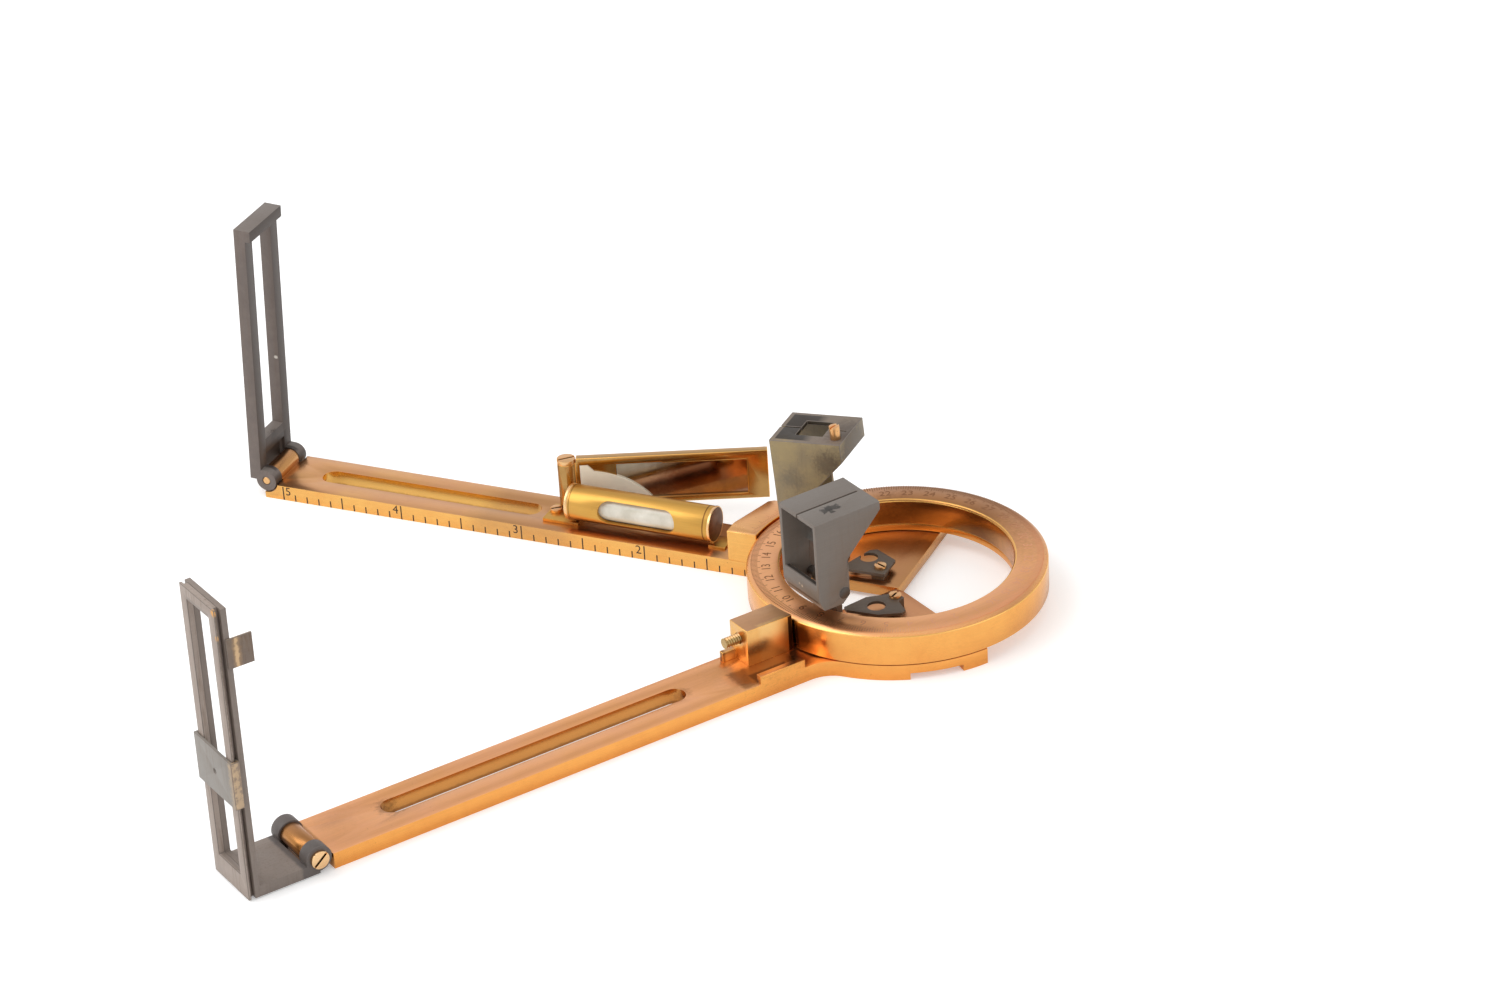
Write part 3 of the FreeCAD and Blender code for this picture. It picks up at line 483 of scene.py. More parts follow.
def edge_brass():
    brass = look("brass")
    return brass_skin("brass_edge", scaled(brass.upper, 1.05), aged=brass.upper, veil=brass.upper, cloud=0.4,
                      share=0.3, specks=0.5, roughness=0.24)


def screw_brass():
    return brass_skin("brass_screw", (0.88, 0.60, 0.30), cloud=0.6, share=0.3, specks=0.6, roughness=0.28,
                      stains=(upper_slot_shade((70.1, -8.9, 13.35), (1.15, 1.15, 0.3)),
                              upper_slot_shade((71.7, -6.4, 3.85), (0.75, 0.75, 0.25)),
                              upper_slot_shade((4.6, -3.0, 5.0), (0.7, 0.7, 0.28)),
                              slot_shade((4.1, 4.9, 5.1), (0.7, 0.7, 0.28))))


def black_edge():
    return black_skin("black_edge", (0.17, 0.14, 0.12), cloud=0.8, streaks=0.25)


def mirror_silver():
    """Clear silvering with a grey haze."""
    material, tree, shader = new_material("mirror_silver")
    haze = noise(tree, point_in_mm(tree), 0.24, detail=6.0, roughness=0.7)
    cloudy = ramp(tree, haze, (0.55, 0), (0.75, 1))
    feed(tree, mix(tree, cloudy, (0.80, 0.80, 0.78), (0.45, 0.42, 0.38)), shader.inputs["Base Color"])
    feed(tree, ramp(tree, haze, (0.50, 0.03), (0.80, 0.25)), shader.inputs["Roughness"])
    shader.inputs["Metallic"].default_value = 1.0
    return material


def mirror_aged():
    """Silvering tinted brown as a painted reflection of the brass arm, clearer at the end by the screw."""
    material, tree, shader = new_material("mirror_aged")
    haze = noise(tree, point_in_mm(tree), 0.22, detail=5.0, roughness=0.65)
    # Painted reflection: the brown clouds stand for the brass arm seen in the glass.
    brown = mix(tree, ramp(tree, haze, (0.40, 0), (0.66, 1)), (0.34, 0.22, 0.16), (0.46, 0.28, 0.18))
    clear = group_node(tree, worn_spot_group, Centre=UPPER_ARM @ Vector((62, -13, 10)), Radius=12.0, Fade=0.5,
                       Raggedness=0.4).outputs["Mask"]
    feed(tree, mix(tree, clear, brown, (0.82, 0.78, 0.72)), shader.inputs["Base Color"])
    feed(tree, ramp(tree, haze, (0.40, 0.06), (0.75, 0.18)), shader.inputs["Roughness"])
    shader.inputs["Metallic"].default_value = 1.0
    return material


def vial_milky():
    """Milky glass, seen through the window of the level."""
    material, tree, shader = new_material("vial_milky")
    streak = ramp(tree, noise(tree, point_in_mm(tree), 0.26, detail=5.0), (0.35, 0), (0.65, 1))
    feed(tree, mix(tree, streak, (0.80, 0.76, 0.66), (0.60, 0.56, 0.46)), shader.inputs["Base Color"])
    shader.inputs["Roughness"].default_value = 0.12
    shader.inputs["Coat Weight"].default_value = 0.6
    return material


# Shape helpers

# Only edges sharper than this many degrees are softened, on pieces with flat faces and turned ones
FLAT_PIECE = 28
TURNED_PIECE = 40


def link(obj):
    bpy.context.scene.collection.objects.link(obj)
    return obj


def softened(node, width, face, edge, angle):
    """A copy of a CAD node with its sharp edges rounded over and rubbed, which stands for the node."""
    weld = 0.003 * MM
    flat = math.radians(0.6)
    crease = math.radians(32)
    mesh = bpy.data.meshes.new(node + "_piece")
    bm = bmesh.new()
    bm.from_mesh(NODES[node].data)
    bmesh.ops.remove_doubles(bm, verts=bm.verts, dist=weld)
    bmesh.ops.dissolve_limit(bm, angle_limit=flat, verts=bm.verts, edges=bm.edges)
    bmesh.ops.triangulate(bm, faces=[polygon for polygon in bm.faces if len(polygon.verts) > 4])
    bm.to_mesh(mesh)
    bm.free()
    mesh.materials.clear()
    mesh.materials.append(face)
    mesh.materials.append(edge)
    for polygon in mesh.polygons:
        polygon.material_index = 0
    piece = link(bpy.data.objects.new(node + "_piece", mesh))
    bevel = piece.modifiers.new("edges", "BEVEL")
    bevel.width = width * MM
    bevel.segments = 2
    bevel.limit_method = "ANGLE"
    bevel.angle_limit = math.radians(angle)
    bevel.material = 1
    bevel.use_clamp_overlap = True
    bevel.miter_outer = "MITER_ARC"
    result = bpy.data.meshes.new_from_object(piece.evaluated_get(bpy.context.evaluated_depsgraph_get()))
    piece.modifiers.clear()
    piece.data = result
    result.shade_smooth()
    result.set_sharp_from_angle(angle=crease)
    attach(piece, BODY_OF[node])
    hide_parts(node)
    return piece


def brass_piece(node, edge, face, angle=FLAT_PIECE):
    return softened(node, getattr(look("edges"), edge), face, edge_brass(), angle)


def black_piece(node, edge, face, angle=FLAT_PIECE):
    return softened(node, getattr(look("edges"), edge), face, black_edge(), angle)


def dress(node, material):
    """Give a carried-over CAD node its finish."""
    mesh = NODES[node].data
    mesh.materials.clear()
    mesh.materials.append(material)


def new_piece(name, bm, material, node, smooth=False):
    """A piece that rides with a CAD node's body and has its slot."""
    mesh = bpy.data.meshes.new(name)
    bm.to_mesh(mesh)
    bm.free()
    mesh.materials.append(material)
    if smooth:
        mesh.shade_smooth()
        mesh.set_sharp_from_angle(angle=math.radians(TURNED_PIECE))
    piece = link(bpy.data.objects.new(name, mesh))
    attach(piece, BODY_OF[node])
    return piece


def place_at(x, y, z, *turns):
    """A matrix at a place in mm, with turns of (axis, degrees) applied in order."""
    matrix = Matrix.Translation(Vector((x, y, z)) * MM)
    for axis, degrees in turns:
        matrix = matrix @ Matrix.Rotation(math.radians(degrees), 4, axis)
    return matrix


def add_bar(bm, matrix, size):
    """A thin bar, its centre at the matrix, its size in mm."""
    made = bmesh.ops.create_cube(bm, size=1.0)["verts"]
    bmesh.ops.transform(bm, matrix=Matrix.Diagonal((*[s * MM for s in size], 1)), verts=made)
    bmesh.ops.transform(bm, matrix=matrix, verts=made)


def add_figure(bm, text, height, matrix, depth):
    """Figures cut as solid strokes, their height and half depth in mm."""
    cap_height = 0.7
    curve = bpy.data.curves.new("figure", "FONT")
    curve.body = text
    curve.size = height * MM / cap_height
    curve.extrude = depth * MM
    curve.align_x = "CENTER"
    curve.align_y = "CENTER"
    curve.resolution_u = 3
    holder = link(bpy.data.objects.new("figure", curve))
    mesh = bpy.data.meshes.new_from_object(holder.evaluated_get(bpy.context.evaluated_depsgraph_get()))
    mesh.transform(matrix)
    bm.from_mesh(mesh)
    bpy.data.objects.remove(holder)
    bpy.data.curves.remove(curve)
    bpy.data.meshes.remove(mesh)


def turned_ring(name, profile, matrix, material, node):
    """A piece turned about the matrix's z axis from a closed profile of (radius, height) in mm."""
    segments = 64
    bm = bmesh.new()
    rows = []
    for step in range(segments):
        turn = matrix @ Matrix.Rotation(2 * math.pi * step / segments, 4, "Z")
        rows.append([bm.verts.new(turn @ (Vector((radius, 0, height)) * MM)) for radius, height in profile])
    for step, row in enumerate(rows):
        beside = rows[(step + 1) % segments]
        for i in range(len(profile)):
            j = (i + 1) % len(profile)
            bm.faces.new((row[i], beside[i], beside[j], row[j]))
    bmesh.ops.remove_doubles(bm, verts=bm.verts, dist=0.001 * MM)
    bmesh.ops.recalc_face_normals(bm, faces=bm.faces)
    return new_piece(name, bm, material, node, smooth=True)


def screw_thread(start, end, crest, root, pitch, axis):
    """A thread along x with its crest and root radii, closed by a cap at each end, all in mm."""
    around = 20
    steps = int((end - start) / pitch * around)
    bm = bmesh.new()
    rows = []
    for step in range(-around, steps + around + 1):
        angle = 2 * math.pi * step / around
        row = []
        for share, radius in ((0.0, crest), (0.5, root)):
            x = min(max(start + (step / around + share) * pitch, start), end)
            row.append(bm.verts.new(Vector((x, axis.y + radius * math.cos(angle),
                                            axis.z + radius * math.sin(angle))) * MM))
        rows.append(row)
    for a, b in zip(rows, rows[1:]):
        bm.faces.new((a[0], a[1], b[1], b[0]))
    for i in range(len(rows) - around - 1):
        bm.faces.new((rows[i][1], rows[i + around][0], rows[i + around + 1][0], rows[i + 1][1]))
    for x in (start + 0.02, end):
        cap = bmesh.ops.create_circle(bm, cap_ends=True, segments=24, radius=root * MM)["verts"]
        bmesh.ops.transform(bm, matrix=place_at(x, axis.y, axis.z, ("Y", 90)), verts=cap)
    bmesh.ops.remove_doubles(bm, verts=bm.verts, dist=0.002 * MM)
    bmesh.ops.recalc_face_normals(bm, faces=bm.faces)
    return bm


# Pieces

class PROTRACTOR_OT_arms(bpy.types.Operator):
    """Finish the two slotted arms and the ring that joins them"""
    bl_idname = "protractor.arms"
    bl_label = "Arms"

    def execute(self, context):
        brass = look("brass")
        shade = (0.25, 0.10, 0.04)
        slot_wall_shade = (0.66, 0.33, 0.10)
        olive_wall = (0.86, 0.55, 0.17)
        # Painted dark reflections of the vanes' hinge barrels on the arms near the hinges.
        barrel_reflection = (0.36, 0.16, 0.05)
        upper_barrel_reflection = (0.50, 0.24, 0.10)
        # Painted shade on the arms inside the bore of the ring.
        hub_shade = spot_stain((0, 0, 3), 21.2, (0.50, 0.22, 0.09), 0.55, fade=0.5, ragged=0.5)
        # Painted shade in the lower slot: darker walls, darkest at the bottom and at both ends.
        slot = (
            box_stain((50, 3.4, -1), (111.4, 8.0, 2.92), slot_wall_shade, 0.75, fade=0.05),
            box_stain((50, 3.4, -1), (111.4, 8.0, 0.4), shade, 0.55, ragged=0.6),
            spot_stain((109.6, 5.7, 1.4), 3.4, brass.grime, 0.9, fade=0.7, ragged=0.9),
            spot_stain((51.0, 5.9, 1.6), 2.6, shade, 0.8, fade=0.8, ragged=0.9))
        # Grime and painted shade in the recess beside the clamp block.
        recess = (
            box_stain((29, 6.2, 2.6), (41, 11.6, 3.2), (0.30, 0.12, 0.04), 0.75, fade=0.8, ragged=1.2),
            box_stain((31, 8.6, 2.6), (38.2, 11.2, 3.2), brass.grime, 0.85, fade=0.5, ragged=0.6))
        seams = tuple(
            box_stain(low, high, brass.grime, fade=0.12, turn=math.radians(turn)) for low, high, turn in (
                ((22.36, 18.75, -1), (22.64, 20.75, 3.2), -131),
                ((30.66, 13.6, -1), (30.94, 15.6, 3.2), -150)))
        lower = brass_skin("brass_lower", brass.lower, cloud=0.45, specks=0.35, stains=(
            *slot, *recess, hub_shade,
            box_stain((124.4, 1, 0.5), (130, 11.4, 6), barrel_reflection, 0.8, fade=0.5, ragged=0.3),
            spot_stain((34, 6, 3), 12, shade, 0.22, fade=0.9, ragged=0.9),
            *seams,
            spot_stain((119, 3, 3), 5, shade, 0.15, fade=0.9, ragged=1.2)))
        upper_slot = (
            upper_box_stain_and_shade((48, -8.7, -1), (121.6, -4.1, 2.92), olive_wall, 0.8, fade=0.05),
            upper_box_stain_and_shade((48, -8.7, -1), (121.6, -4.1, 0.3), shade, 0.45, ragged=0.6),
            upper_spot_stain_and_shade((119.5, -6.4, 1.4), 2.0, shade, 0.6, fade=0.8, ragged=0.9))
        # Painted shade on the upper arm's top along the level tube and past its outer end.
        shade_by_the_level = (
            upper_box_stain_and_shade((36, -12.6, 2.5), (71, -1.6, 3.2), (0.50, 0.27, 0.14), 0.6, fade=1.4, ragged=1.6),
            upper_box_stain_and_shade((69, -12.6, 2.5), (84, -0.5, 3.2), (0.50, 0.25, 0.11), 0.55, fade=5, ragged=2))
        upper = brass_skin("brass_upper", brass.upper, veil=scaled(brass.veil, 0.8), cloud=0.4, specks=0.35,
                           angle=OPENING, stains=(
            *upper_slot, *shade_by_the_level, hub_shade,
            upper_box_stain_and_shade((128, -12, 1.2), (133, -0.4, 6), upper_barrel_reflection, 0.75, fade=0.5, ragged=0.3)))
        brass_piece("lower_arm", "brass", lower)
        brass_piece("upper_arm", "brass", upper)
        brass_piece("base_ring", "thin", lower)
        return {"FINISHED"}


class PROTRACTOR_OT_ring(bpy.types.Operator):
    """Finish the divided ring and engrave its degrees"""
    bl_idname = "protractor.ring"
    bl_label = "Divided ring"

    def execute(self, context):
        brass = look("brass")
        marks = look("marks")
        marks_outer, figure_radius, cut = 26.6, 23.75, 0.03
        zero_at = 100
        face = brass_skin("brass_ring", brass.ring, cloud=0.4, share=0.75, stains=(
            spot_stain((-27, -12.5, 9.5), 32, (0.34, 0.145, 0.045), 0.8, fade=0.6, ragged=0.4),
            # Painted dark reflection of the clamp block on the ring's band beside it.
            spot_stain((26.2, 7.2, 6), 3.8, (0.10, 0.04, 0.012), 0.85, fade=0.5, ragged=0.2),
            # Painted shade low on the bore of the ring.
            spot_stain((-20.9, -3.7, 5), 6.5, (0.16, 0.06, 0.02), 0.75, fade=0.8, ragged=0.3),
            spot_stain((-10.6, -18.4, 5), 7.0, (0.18, 0.07, 0.022), 0.75, fade=0.8, ragged=0.3)))
        brass_piece("divided_ring", "turned", face, TURNED_PIECE)
        worn = spot_stain((-6, 24, 9.5), 34, brass.veil, 0.86, fade=0.4, ragged=0.3)
        ink = brass_skin("engraved_ring", marks.faint, aged=marks.faint, veil=marks.faint, cloud=0.2,
                         share=0.2, roughness=0.35, stains=(worn,))
        bm = bmesh.new()
        for degree in range(360):
            length = 1.75 if degree % 5 == 0 else 1.25
            turn = Matrix.Rotation(math.radians(degree), 4, "Z")
            place = turn @ place_at(marks_outer - length / 2, 0, RING_TOP)
            add_bar(bm, place, (length, marks.fine_stroke, cut))
        for step in range(1, 360 // marks.degrees_per_figure + 1):
            turn = Matrix.Rotation(math.radians(zero_at - marks.degrees_per_figure * step), 4, "Z")
            place = turn @ place_at(figure_radius, 0, RING_TOP, ("Z", -90))
            add_figure(bm, str(step), marks.ring_figure, place, cut / 2)
        new_piece("ring_scale", bm, ink, "divided_ring")
        return {"FINISHED"}


class PROTRACTOR_OT_clamp(bpy.types.Operator):
    """Finish the clamp block and cut the thread of its stud"""
    bl_idname = "protractor.clamp"
    bl_label = "Clamp"

    def execute(self, context):
        block = brass_skin("brass_block", (0.93, 0.56, 0.20), aged=(0.80, 0.40, 0.12),
                           veil=(0.60, 0.33, 0.19), cloud=0.7, share=0.9, roughness=0.27, stains=(
            # Painted shade on the block's face toward the ring, in the narrow gap between them.
            box_stain((26, -1, 2), (27.95, 13, 10), (0.04, 0.015, 0.008), 0.97, fade=0.15, ragged=0.1),
            box_stain((39.3, -1, 2), (41, 7, 6), (0.25, 0.10, 0.035), 0.8, fade=0.5, ragged=0.6),
            box_stain((29, 5.7, 3), (33.6, 7, 10), (0.93, 0.62, 0.26), 0.6, fade=0.8, ragged=1.0)))
        brass_piece("clamp_block", "brass", block)
        dull = brass_skin("brass_stud", (0.62, 0.45, 0.20), aged=(0.36, 0.22, 0.09), cloud=0.8, specks=0.8,
                          roughness=0.34)
        thread = screw_thread(start=27.45, end=39.7, crest=0.99, root=0.80, pitch=0.5, axis=CLAMP_AXIS)
        stud = new_piece("clamp_thread", thread, dull, "clamp_screw", smooth=True)
        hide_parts("clamp_screw")
        return {"FINISHED"}


class PROTRACTOR_OT_level(bpy.types.Operator):
    """Finish the level tube, its end plug, screw and vial"""
    bl_idname = "protractor.level"
    bl_label = "Level"

    def execute(self, context):
        brass = look("brass")
        line = (0.22, 0.09, 0.03)
        tube_line, tube_height = 4.8, 7.2
        tube = brass_skin("brass_tube", brass.lacquer, aged=(0.70, 0.35, 0.07),
                          veil=scaled(brass.lacquer, 1.03), cloud=0.35, share=0.2, specks=0.15,
                          roughness=0.33, angle=OPENING, grain=0.06, stains=(
            upper_box_stain_and_shade((39.25, -9, 0), (39.42, 0, 12), line, 0.9, fade=0.08),
            upper_box_stain_and_shade((66.6, -9, 0), (66.75, 0, 12), line, 0.7, fade=0.08),
            # Painted shade on the underside of the tube.
            upper_box_stain_and_shade((38, -9, 0), (68, 0, 4.6), (0.40, 0.19, 0.06), 0.6, fade=0.9, ragged=0.8)))
        brass_piece("level_tube", "turned", tube)
        pink = brass_skin("brass_lip", (0.95, 0.62, 0.30), cloud=0.3, share=0.2, roughness=0.25)
        disc = brass_skin("brass_plug", (0.20, 0.095, 0.045), aged=(0.09, 0.035, 0.015), cloud=1.0, share=0.0,
                          specks=0.5, roughness=0.38)
        axis = UPPER_ARM @ place_at(0, -tube_line, tube_height, ("Y", 90))
        plug = turned_ring("level_plug", (
            (0, 37.94), (0.5, 37.9), (3.0, 37.92), (3.22, 37.98), (3.28, 38.09), (2.62, 38.32), (2.62, 40.1),
            (0, 40.1)), axis, disc, "level_cap")
        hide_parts("level_cap")
        turned_ring("level_rim", (
            (3.26, 38.0), (3.4, 37.98), (3.46, 38.05), (3.46, 38.4), (3.38, 38.5), (3.26, 38.4)),
                    axis, pink, "level_tube")
        turned_ring("level_lip", (
            (3.3, 66.98), (3.42, 67.0), (3.47, 67.06), (3.47, 67.55), (3.42, 67.64), (3.3, 67.66)),
                    axis, pink, "level_tube")
        brass_piece("level_screw", "screw", screw_brass(), TURNED_PIECE)
        dress("level_vial", vial_milky())
        return {"FINISHED"}


class PROTRACTOR_OT_mirror(bpy.types.Operator):
    """Finish the swinging mirror, its glass and the broken pale plate"""
    bl_idname = "protractor.mirror"
    bl_label = "Swinging mirror"

    def execute(self, context):
        tray = brass_skin("brass_tray", look("brass").tray, aged=(0.36, 0.19, 0.06), veil=(0.66, 0.40, 0.20),
                          cloud=0.7, angle=OPENING)
        brass_piece("mirror_frame", "turned", tray)
        brass_piece("mirror_screw", "sheet", screw_brass(), TURNED_PIECE)
        dress("mirror_glass", mirror_aged())
        dress("mirror_shard", plain_skin("shard_pale", (1.0, 0.93, 0.78), 0.3, mottle=0.08, scale=0.3))
        return {"FINISHED"}


class PROTRACTOR_OT_vanes(bpy.types.Operator):
    """Finish the two folding sight vanes and the sliding clip"""
    bl_idname = "protractor.vanes"
    bl_label = "Sight vanes"

    def execute(self, context):
        self.lower_vane()
        self.catch_and_clip()
        self.upper_vane()
        self.hinge_screws()
        return {"FINISHED"}

    def lower_vane(self):
        black = look("black")
        coat = black.lower_vane
        front = black_skin("black_vane_front", coat, aged=scaled(coat, 1.35), streaks=0.45, stains=(
            # Painted shade on the walls of the sight window.
            box_stain((139, 2.5, 1), (140.1, 9.9, 54), scaled(coat, 0.6), 0.8, fade=0.1),
            # Worn brown brass with painted shade in the groove along the side.
            box_stain((138.8, 11.9, 1), (139.9, 12.5, 56), (0.10, 0.06, 0.035), 0.75, fade=0.2, ragged=0.5),
            spot_stain((140.4, 11.9, 55.2), 0.9, black.bare, 0.85, fade=0.4, ragged=0.9, bare=True),
            spot_stain((140.3, 12.2, 50.5), 0.6, black.bare, 0.7, fade=0.4, ragged=0.9, bare=True),
            spot_stain((140.4, 8.2, 55.2), 0.32, (0.02, 0.015, 0.01), 0.9, ragged=0.2)))
        # Painted shade: the rear plate is a darker copy of the front's blackening, with its window walls and its
        # foot by the hinge darker still.
        shaded_rear = black_skin("black_vane_rear_shaded", scaled(coat, 0.6), aged=scaled(coat, 0.85),
                          veil=scaled(coat, 0.9), streaks=0.3, stains=(
            box_stain((137.9, 2.2, 1), (139.1, 10.2, 54), scaled(coat, 0.6), 0.8, fade=0.1),
            box_stain((124, -0.2, 0.2), (130, 12.6, 6.4), (0.095, 0.08, 0.075), 0.85, fade=0.5, ragged=0.4)))
        black_piece("vane_front", "black", front)
        black_piece("lower_vane", "black", shaded_rear)

    def catch_and_clip(self):
        worn = (0.62, 0.45, 0.28)
        tab = black_skin("black_catch", (0.17, 0.12, 0.09), aged=(0.26, 0.20, 0.14), veil=(0.5, 0.38, 0.26),
                         streaks=0.9, stains=(
            box_stain((137.05, 12, 44), (137.3, 13.2, 50.6), (0.80, 0.58, 0.36), 0.85, fade=0.35,
                      ragged=1.5, bare=True),
            box_stain((136.6, 12, 44), (137.7, 13.2, 50.6), (0.40, 0.24, 0.11), 0.4, fade=0.4, ragged=1.0)))
        black_piece("vane_catch", "sheet", tab)
        clip = black_skin("black_clip", (0.24, 0.215, 0.19), cloud=0.4, streaks=0.3, stains=(
            box_stain((138.6, 12.5, 18), (141.2, 13.3, 28), (0.30, 0.20, 0.13), 0.75, ragged=1.0),
            box_stain((139.8, 12.5, 18), (140.3, 13.3, 28), worn, 0.6, fade=0.5, ragged=3.4, bare=True),
            box_stain((140.6, 11.7, 18), (141.2, 12.9, 28), worn, 0.3, ragged=2.6, bare=True)))
        black_piece("slider_clip", "sheet", clip)

    def upper_vane(self):
        upper = black_skin("black_vane_upper", look("black").upper_vane, aged=(0.24, 0.19, 0.165),
                           veil=(0.22, 0.19, 0.17), cloud=0.45, streaks=0.25, stains=(
            # Painted shade on the faces that look toward the ring and under the crossbar around the hinge.
            face_stain((-1, 0, 0), (0.045, 0.03, 0.022), 0.85, arm=UPPER_ARM),
            upper_box_stain_and_shade((126, -10.6, 5.4), (131.9, -1.8, 9.2), (0.03, 0.018, 0.012), 0.8, fade=0.4),
            upper_spot_stain_and_shade((131, -11.7, 52.1), 1.1, (0.55, 0.20, 0.07), 0.9, fade=0.5, ragged=0.9),
            upper_spot_stain_and_shade((131, -9.7, 25.5), 0.45, (0.62, 0.57, 0.5), 0.9, fade=0.5, ragged=1.6),
            upper_spot_stain_and_shade((131, -6.0, 10.4), 1.5, (0.03, 0.02, 0.015), 0.8, fade=0.5, ragged=1.8)))
        black_piece("upper_vane", "black", upper)

    def hinge_screws(self):
        bright = brass_skin("brass_bright_screw", (0.95, 0.66, 0.36), cloud=0.3, share=0.2, specks=0.4,
                            roughness=0.2, stains=(slot_shade((127, 12.6, 3.1), (1.1, 0.28, 1.1)),))
        brass_piece("lower_vane_screw", "hinge", bright, TURNED_PIECE)
        brass_piece("upper_vane_pin", "turned", screw_brass(), TURNED_PIECE)


class PROTRACTOR_OT_boxes(bpy.types.Operator):
    """Finish the mirror boxes, their brackets and the leaf springs"""
    bl_idname = "protractor.boxes"
    bl_label = "Mirror boxes"

    def execute(self, context):
        self.lower_box()
        self.upper_box()
        self.fittings()
        return {"FINISHED"}

    def lower_box(self):
        inside = (0.012, 0.009, 0.007)
        scratch = (0.025, 0.02, 0.016)
        lower = black_skin("black_box_lower", look("black").lower_box, aged=(0.19, 0.155, 0.13),
                           veil=(0.20, 0.175, 0.155), streaks=0.15, stains=(
            # Painted shade inside the box, darkest in its upper part.
            box_stain((17, 1.3, 18.5), (24.5, 10.8, 29.2), inside, 0.93, fade=0.1),
            box_stain((19.5, 1.3, 13.4), (24.5, 10.8, 18.6), (0.02, 0.014, 0.01), 0.85, fade=0.1),
            spot_stain((25, 6.4, 15.4), 0.42, (0.55, 0.42, 0.28), 0.85, fade=0.4, ragged=1.4),
            spot_stain((25, 5.5, 15.6), 0.34, (0.50, 0.38, 0.25), 0.8, fade=0.4, ragged=1.4),
            box_stain((17.6, 7.6, 29.8), (20.9, 8.9, 30.2), scratch, 0.85, fade=0.25, ragged=1.5),
            box_stain((19.2, 7.2, 29.8), (20.0, 9.6, 30.2), scratch, 0.8, fade=0.2, ragged=1.2)))
        black_piece("lower_box", "black", lower)
        dress("lower_box_mirror", mirror_silver())

    def upper_box(self):
        upper = black_skin("black_box_upper", look("black").upper_box, aged=(0.36, 0.27, 0.13),
                           veil=(0.20, 0.157, 0.127), cloud=1.0, share=1.0, specks=0.6, streaks=0.2, stains=(
            upper_spot_stain_and_shade((20, -0.4, 22), 3.0, (0.12, 0.10, 0.07), 0.5, fade=0.8, ragged=1.6),
            upper_spot_stain_and_shade((15.5, -0.4, 16.5), 2.6, (0.17, 0.10, 0.045), 0.65, fade=0.6, ragged=1.2),
            upper_spot_stain_and_shade((21.5, -0.4, 27.5), 3.6, (0.36, 0.27, 0.12), 0.55, fade=0.6, ragged=1.2),
            upper_spot_stain_and_shade((13, -0.4, 26), 3.4, (0.10, 0.075, 0.05), 0.7, fade=0.6, ragged=1.0),
            upper_spot_stain_and_shade((10.5, -6, 27), 6.5, (0.075, 0.055, 0.042), 0.75, fade=0.4, ragged=0.6),
            # Painted shade inside the box.
            upper_box_stain_and_shade((12.2, -10.8, 13.4), (23.4, -1.3, 29.9), (0.02, 0.014, 0.01), 0.9, fade=0.15)))
        black_piece("upper_box", "black", upper)
        dress("upper_box_mirror", plain_skin("mirror_blind", (0.035, 0.03, 0.026), 0.2, mottle=0.4))

    def fittings(self):
        for node in ("box_screw", "lower_leaf_screw", "upper_leaf_screw"):
            brass_piece(node, "screw", screw_brass(), TURNED_PIECE)
        rivet = black_skin("black_rivet", (0.06, 0.045, 0.035))
        for node in ("lower_box_rivet", "upper_box_rivet"):
            black_piece(node, "sheet", rivet, TURNED_PIECE)
        dull = black_skin("black_fittings", look("black").fittings, aged=(0.16, 0.11, 0.07), cloud=0.8,
                          streaks=0.2)
        for node in ("lower_bracket", "upper_bracket"):
            black_piece(node, "thin", dull)
        for node in ("lower_leaf", "upper_leaf"):
            black_piece(node, "screw", dull)


class PROTRACTOR_OT_scales(bpy.types.Operator):
    """Engrave the inch scale and the vernier"""
    bl_idname = "protractor.scales"
    bl_label = "Scales"

    def execute(self, context):
        marks = look("marks")
        vernier = brass_skin("brass_vernier", look("brass").upper, cloud=0.35, share=0.6,
                             angle=OPENING)
        brass_piece("vernier_block", "brass", vernier)
        self.inch_scale(marks)
        self.vernier_scale(marks)
        return {"FINISHED"}

    def inch_scale(self, marks):
        """Marks up the side of the upper arm at each tenth of an inch from the ring's axis."""
        first_tenth, last_tenth, foot, cut = 12, 50, 0.05, 0.04
        figure_middle = 1.9
        bm = bmesh.new()
        for tenth in range(first_tenth, last_tenth + 1):
            height = 2.85 if tenth % 10 == 0 else 2.4 if tenth % 5 == 0 else 1.35
            place = UPPER_ARM @ place_at(tenth * INCH / 10, 0, foot + height / 2)
            add_bar(bm, place, (marks.stroke, cut, height))
        for inch in range(2, 6):
            beside = -1.0625 if inch == 5 else 1.1875
            place = UPPER_ARM @ place_at(inch * INCH + beside, 0, figure_middle, ("X", 90), ("Y", 180))
            add_figure(bm, str(inch), marks.figure, place, cut / 2)
        new_piece("inch_scale", bm, plain_skin("engraved_marks", marks.ink, 0.6), "upper_arm")

    def vernier_scale(self, marks):
        """Marks on the vernier block beside the ring."""
        inner, first, apart, cut = 27.95, 0.3, 0.95, 0.03
        bm = bmesh.new()
        for step in range(1, 24):
            length = 1.8 if step % 5 == 0 else 1.1
            turn = UPPER_ARM @ Matrix.Rotation(math.radians(-first - step * apart), 4, "Z")
            place = turn @ place_at(inner + length / 2, 0, VERNIER_TOP)
            add_bar(bm, place, (length, marks.fine_stroke, cut))
        new_piece("vernier_scale", bm, brass_skin("engraved_vernier", marks.faint), "vernier_block")


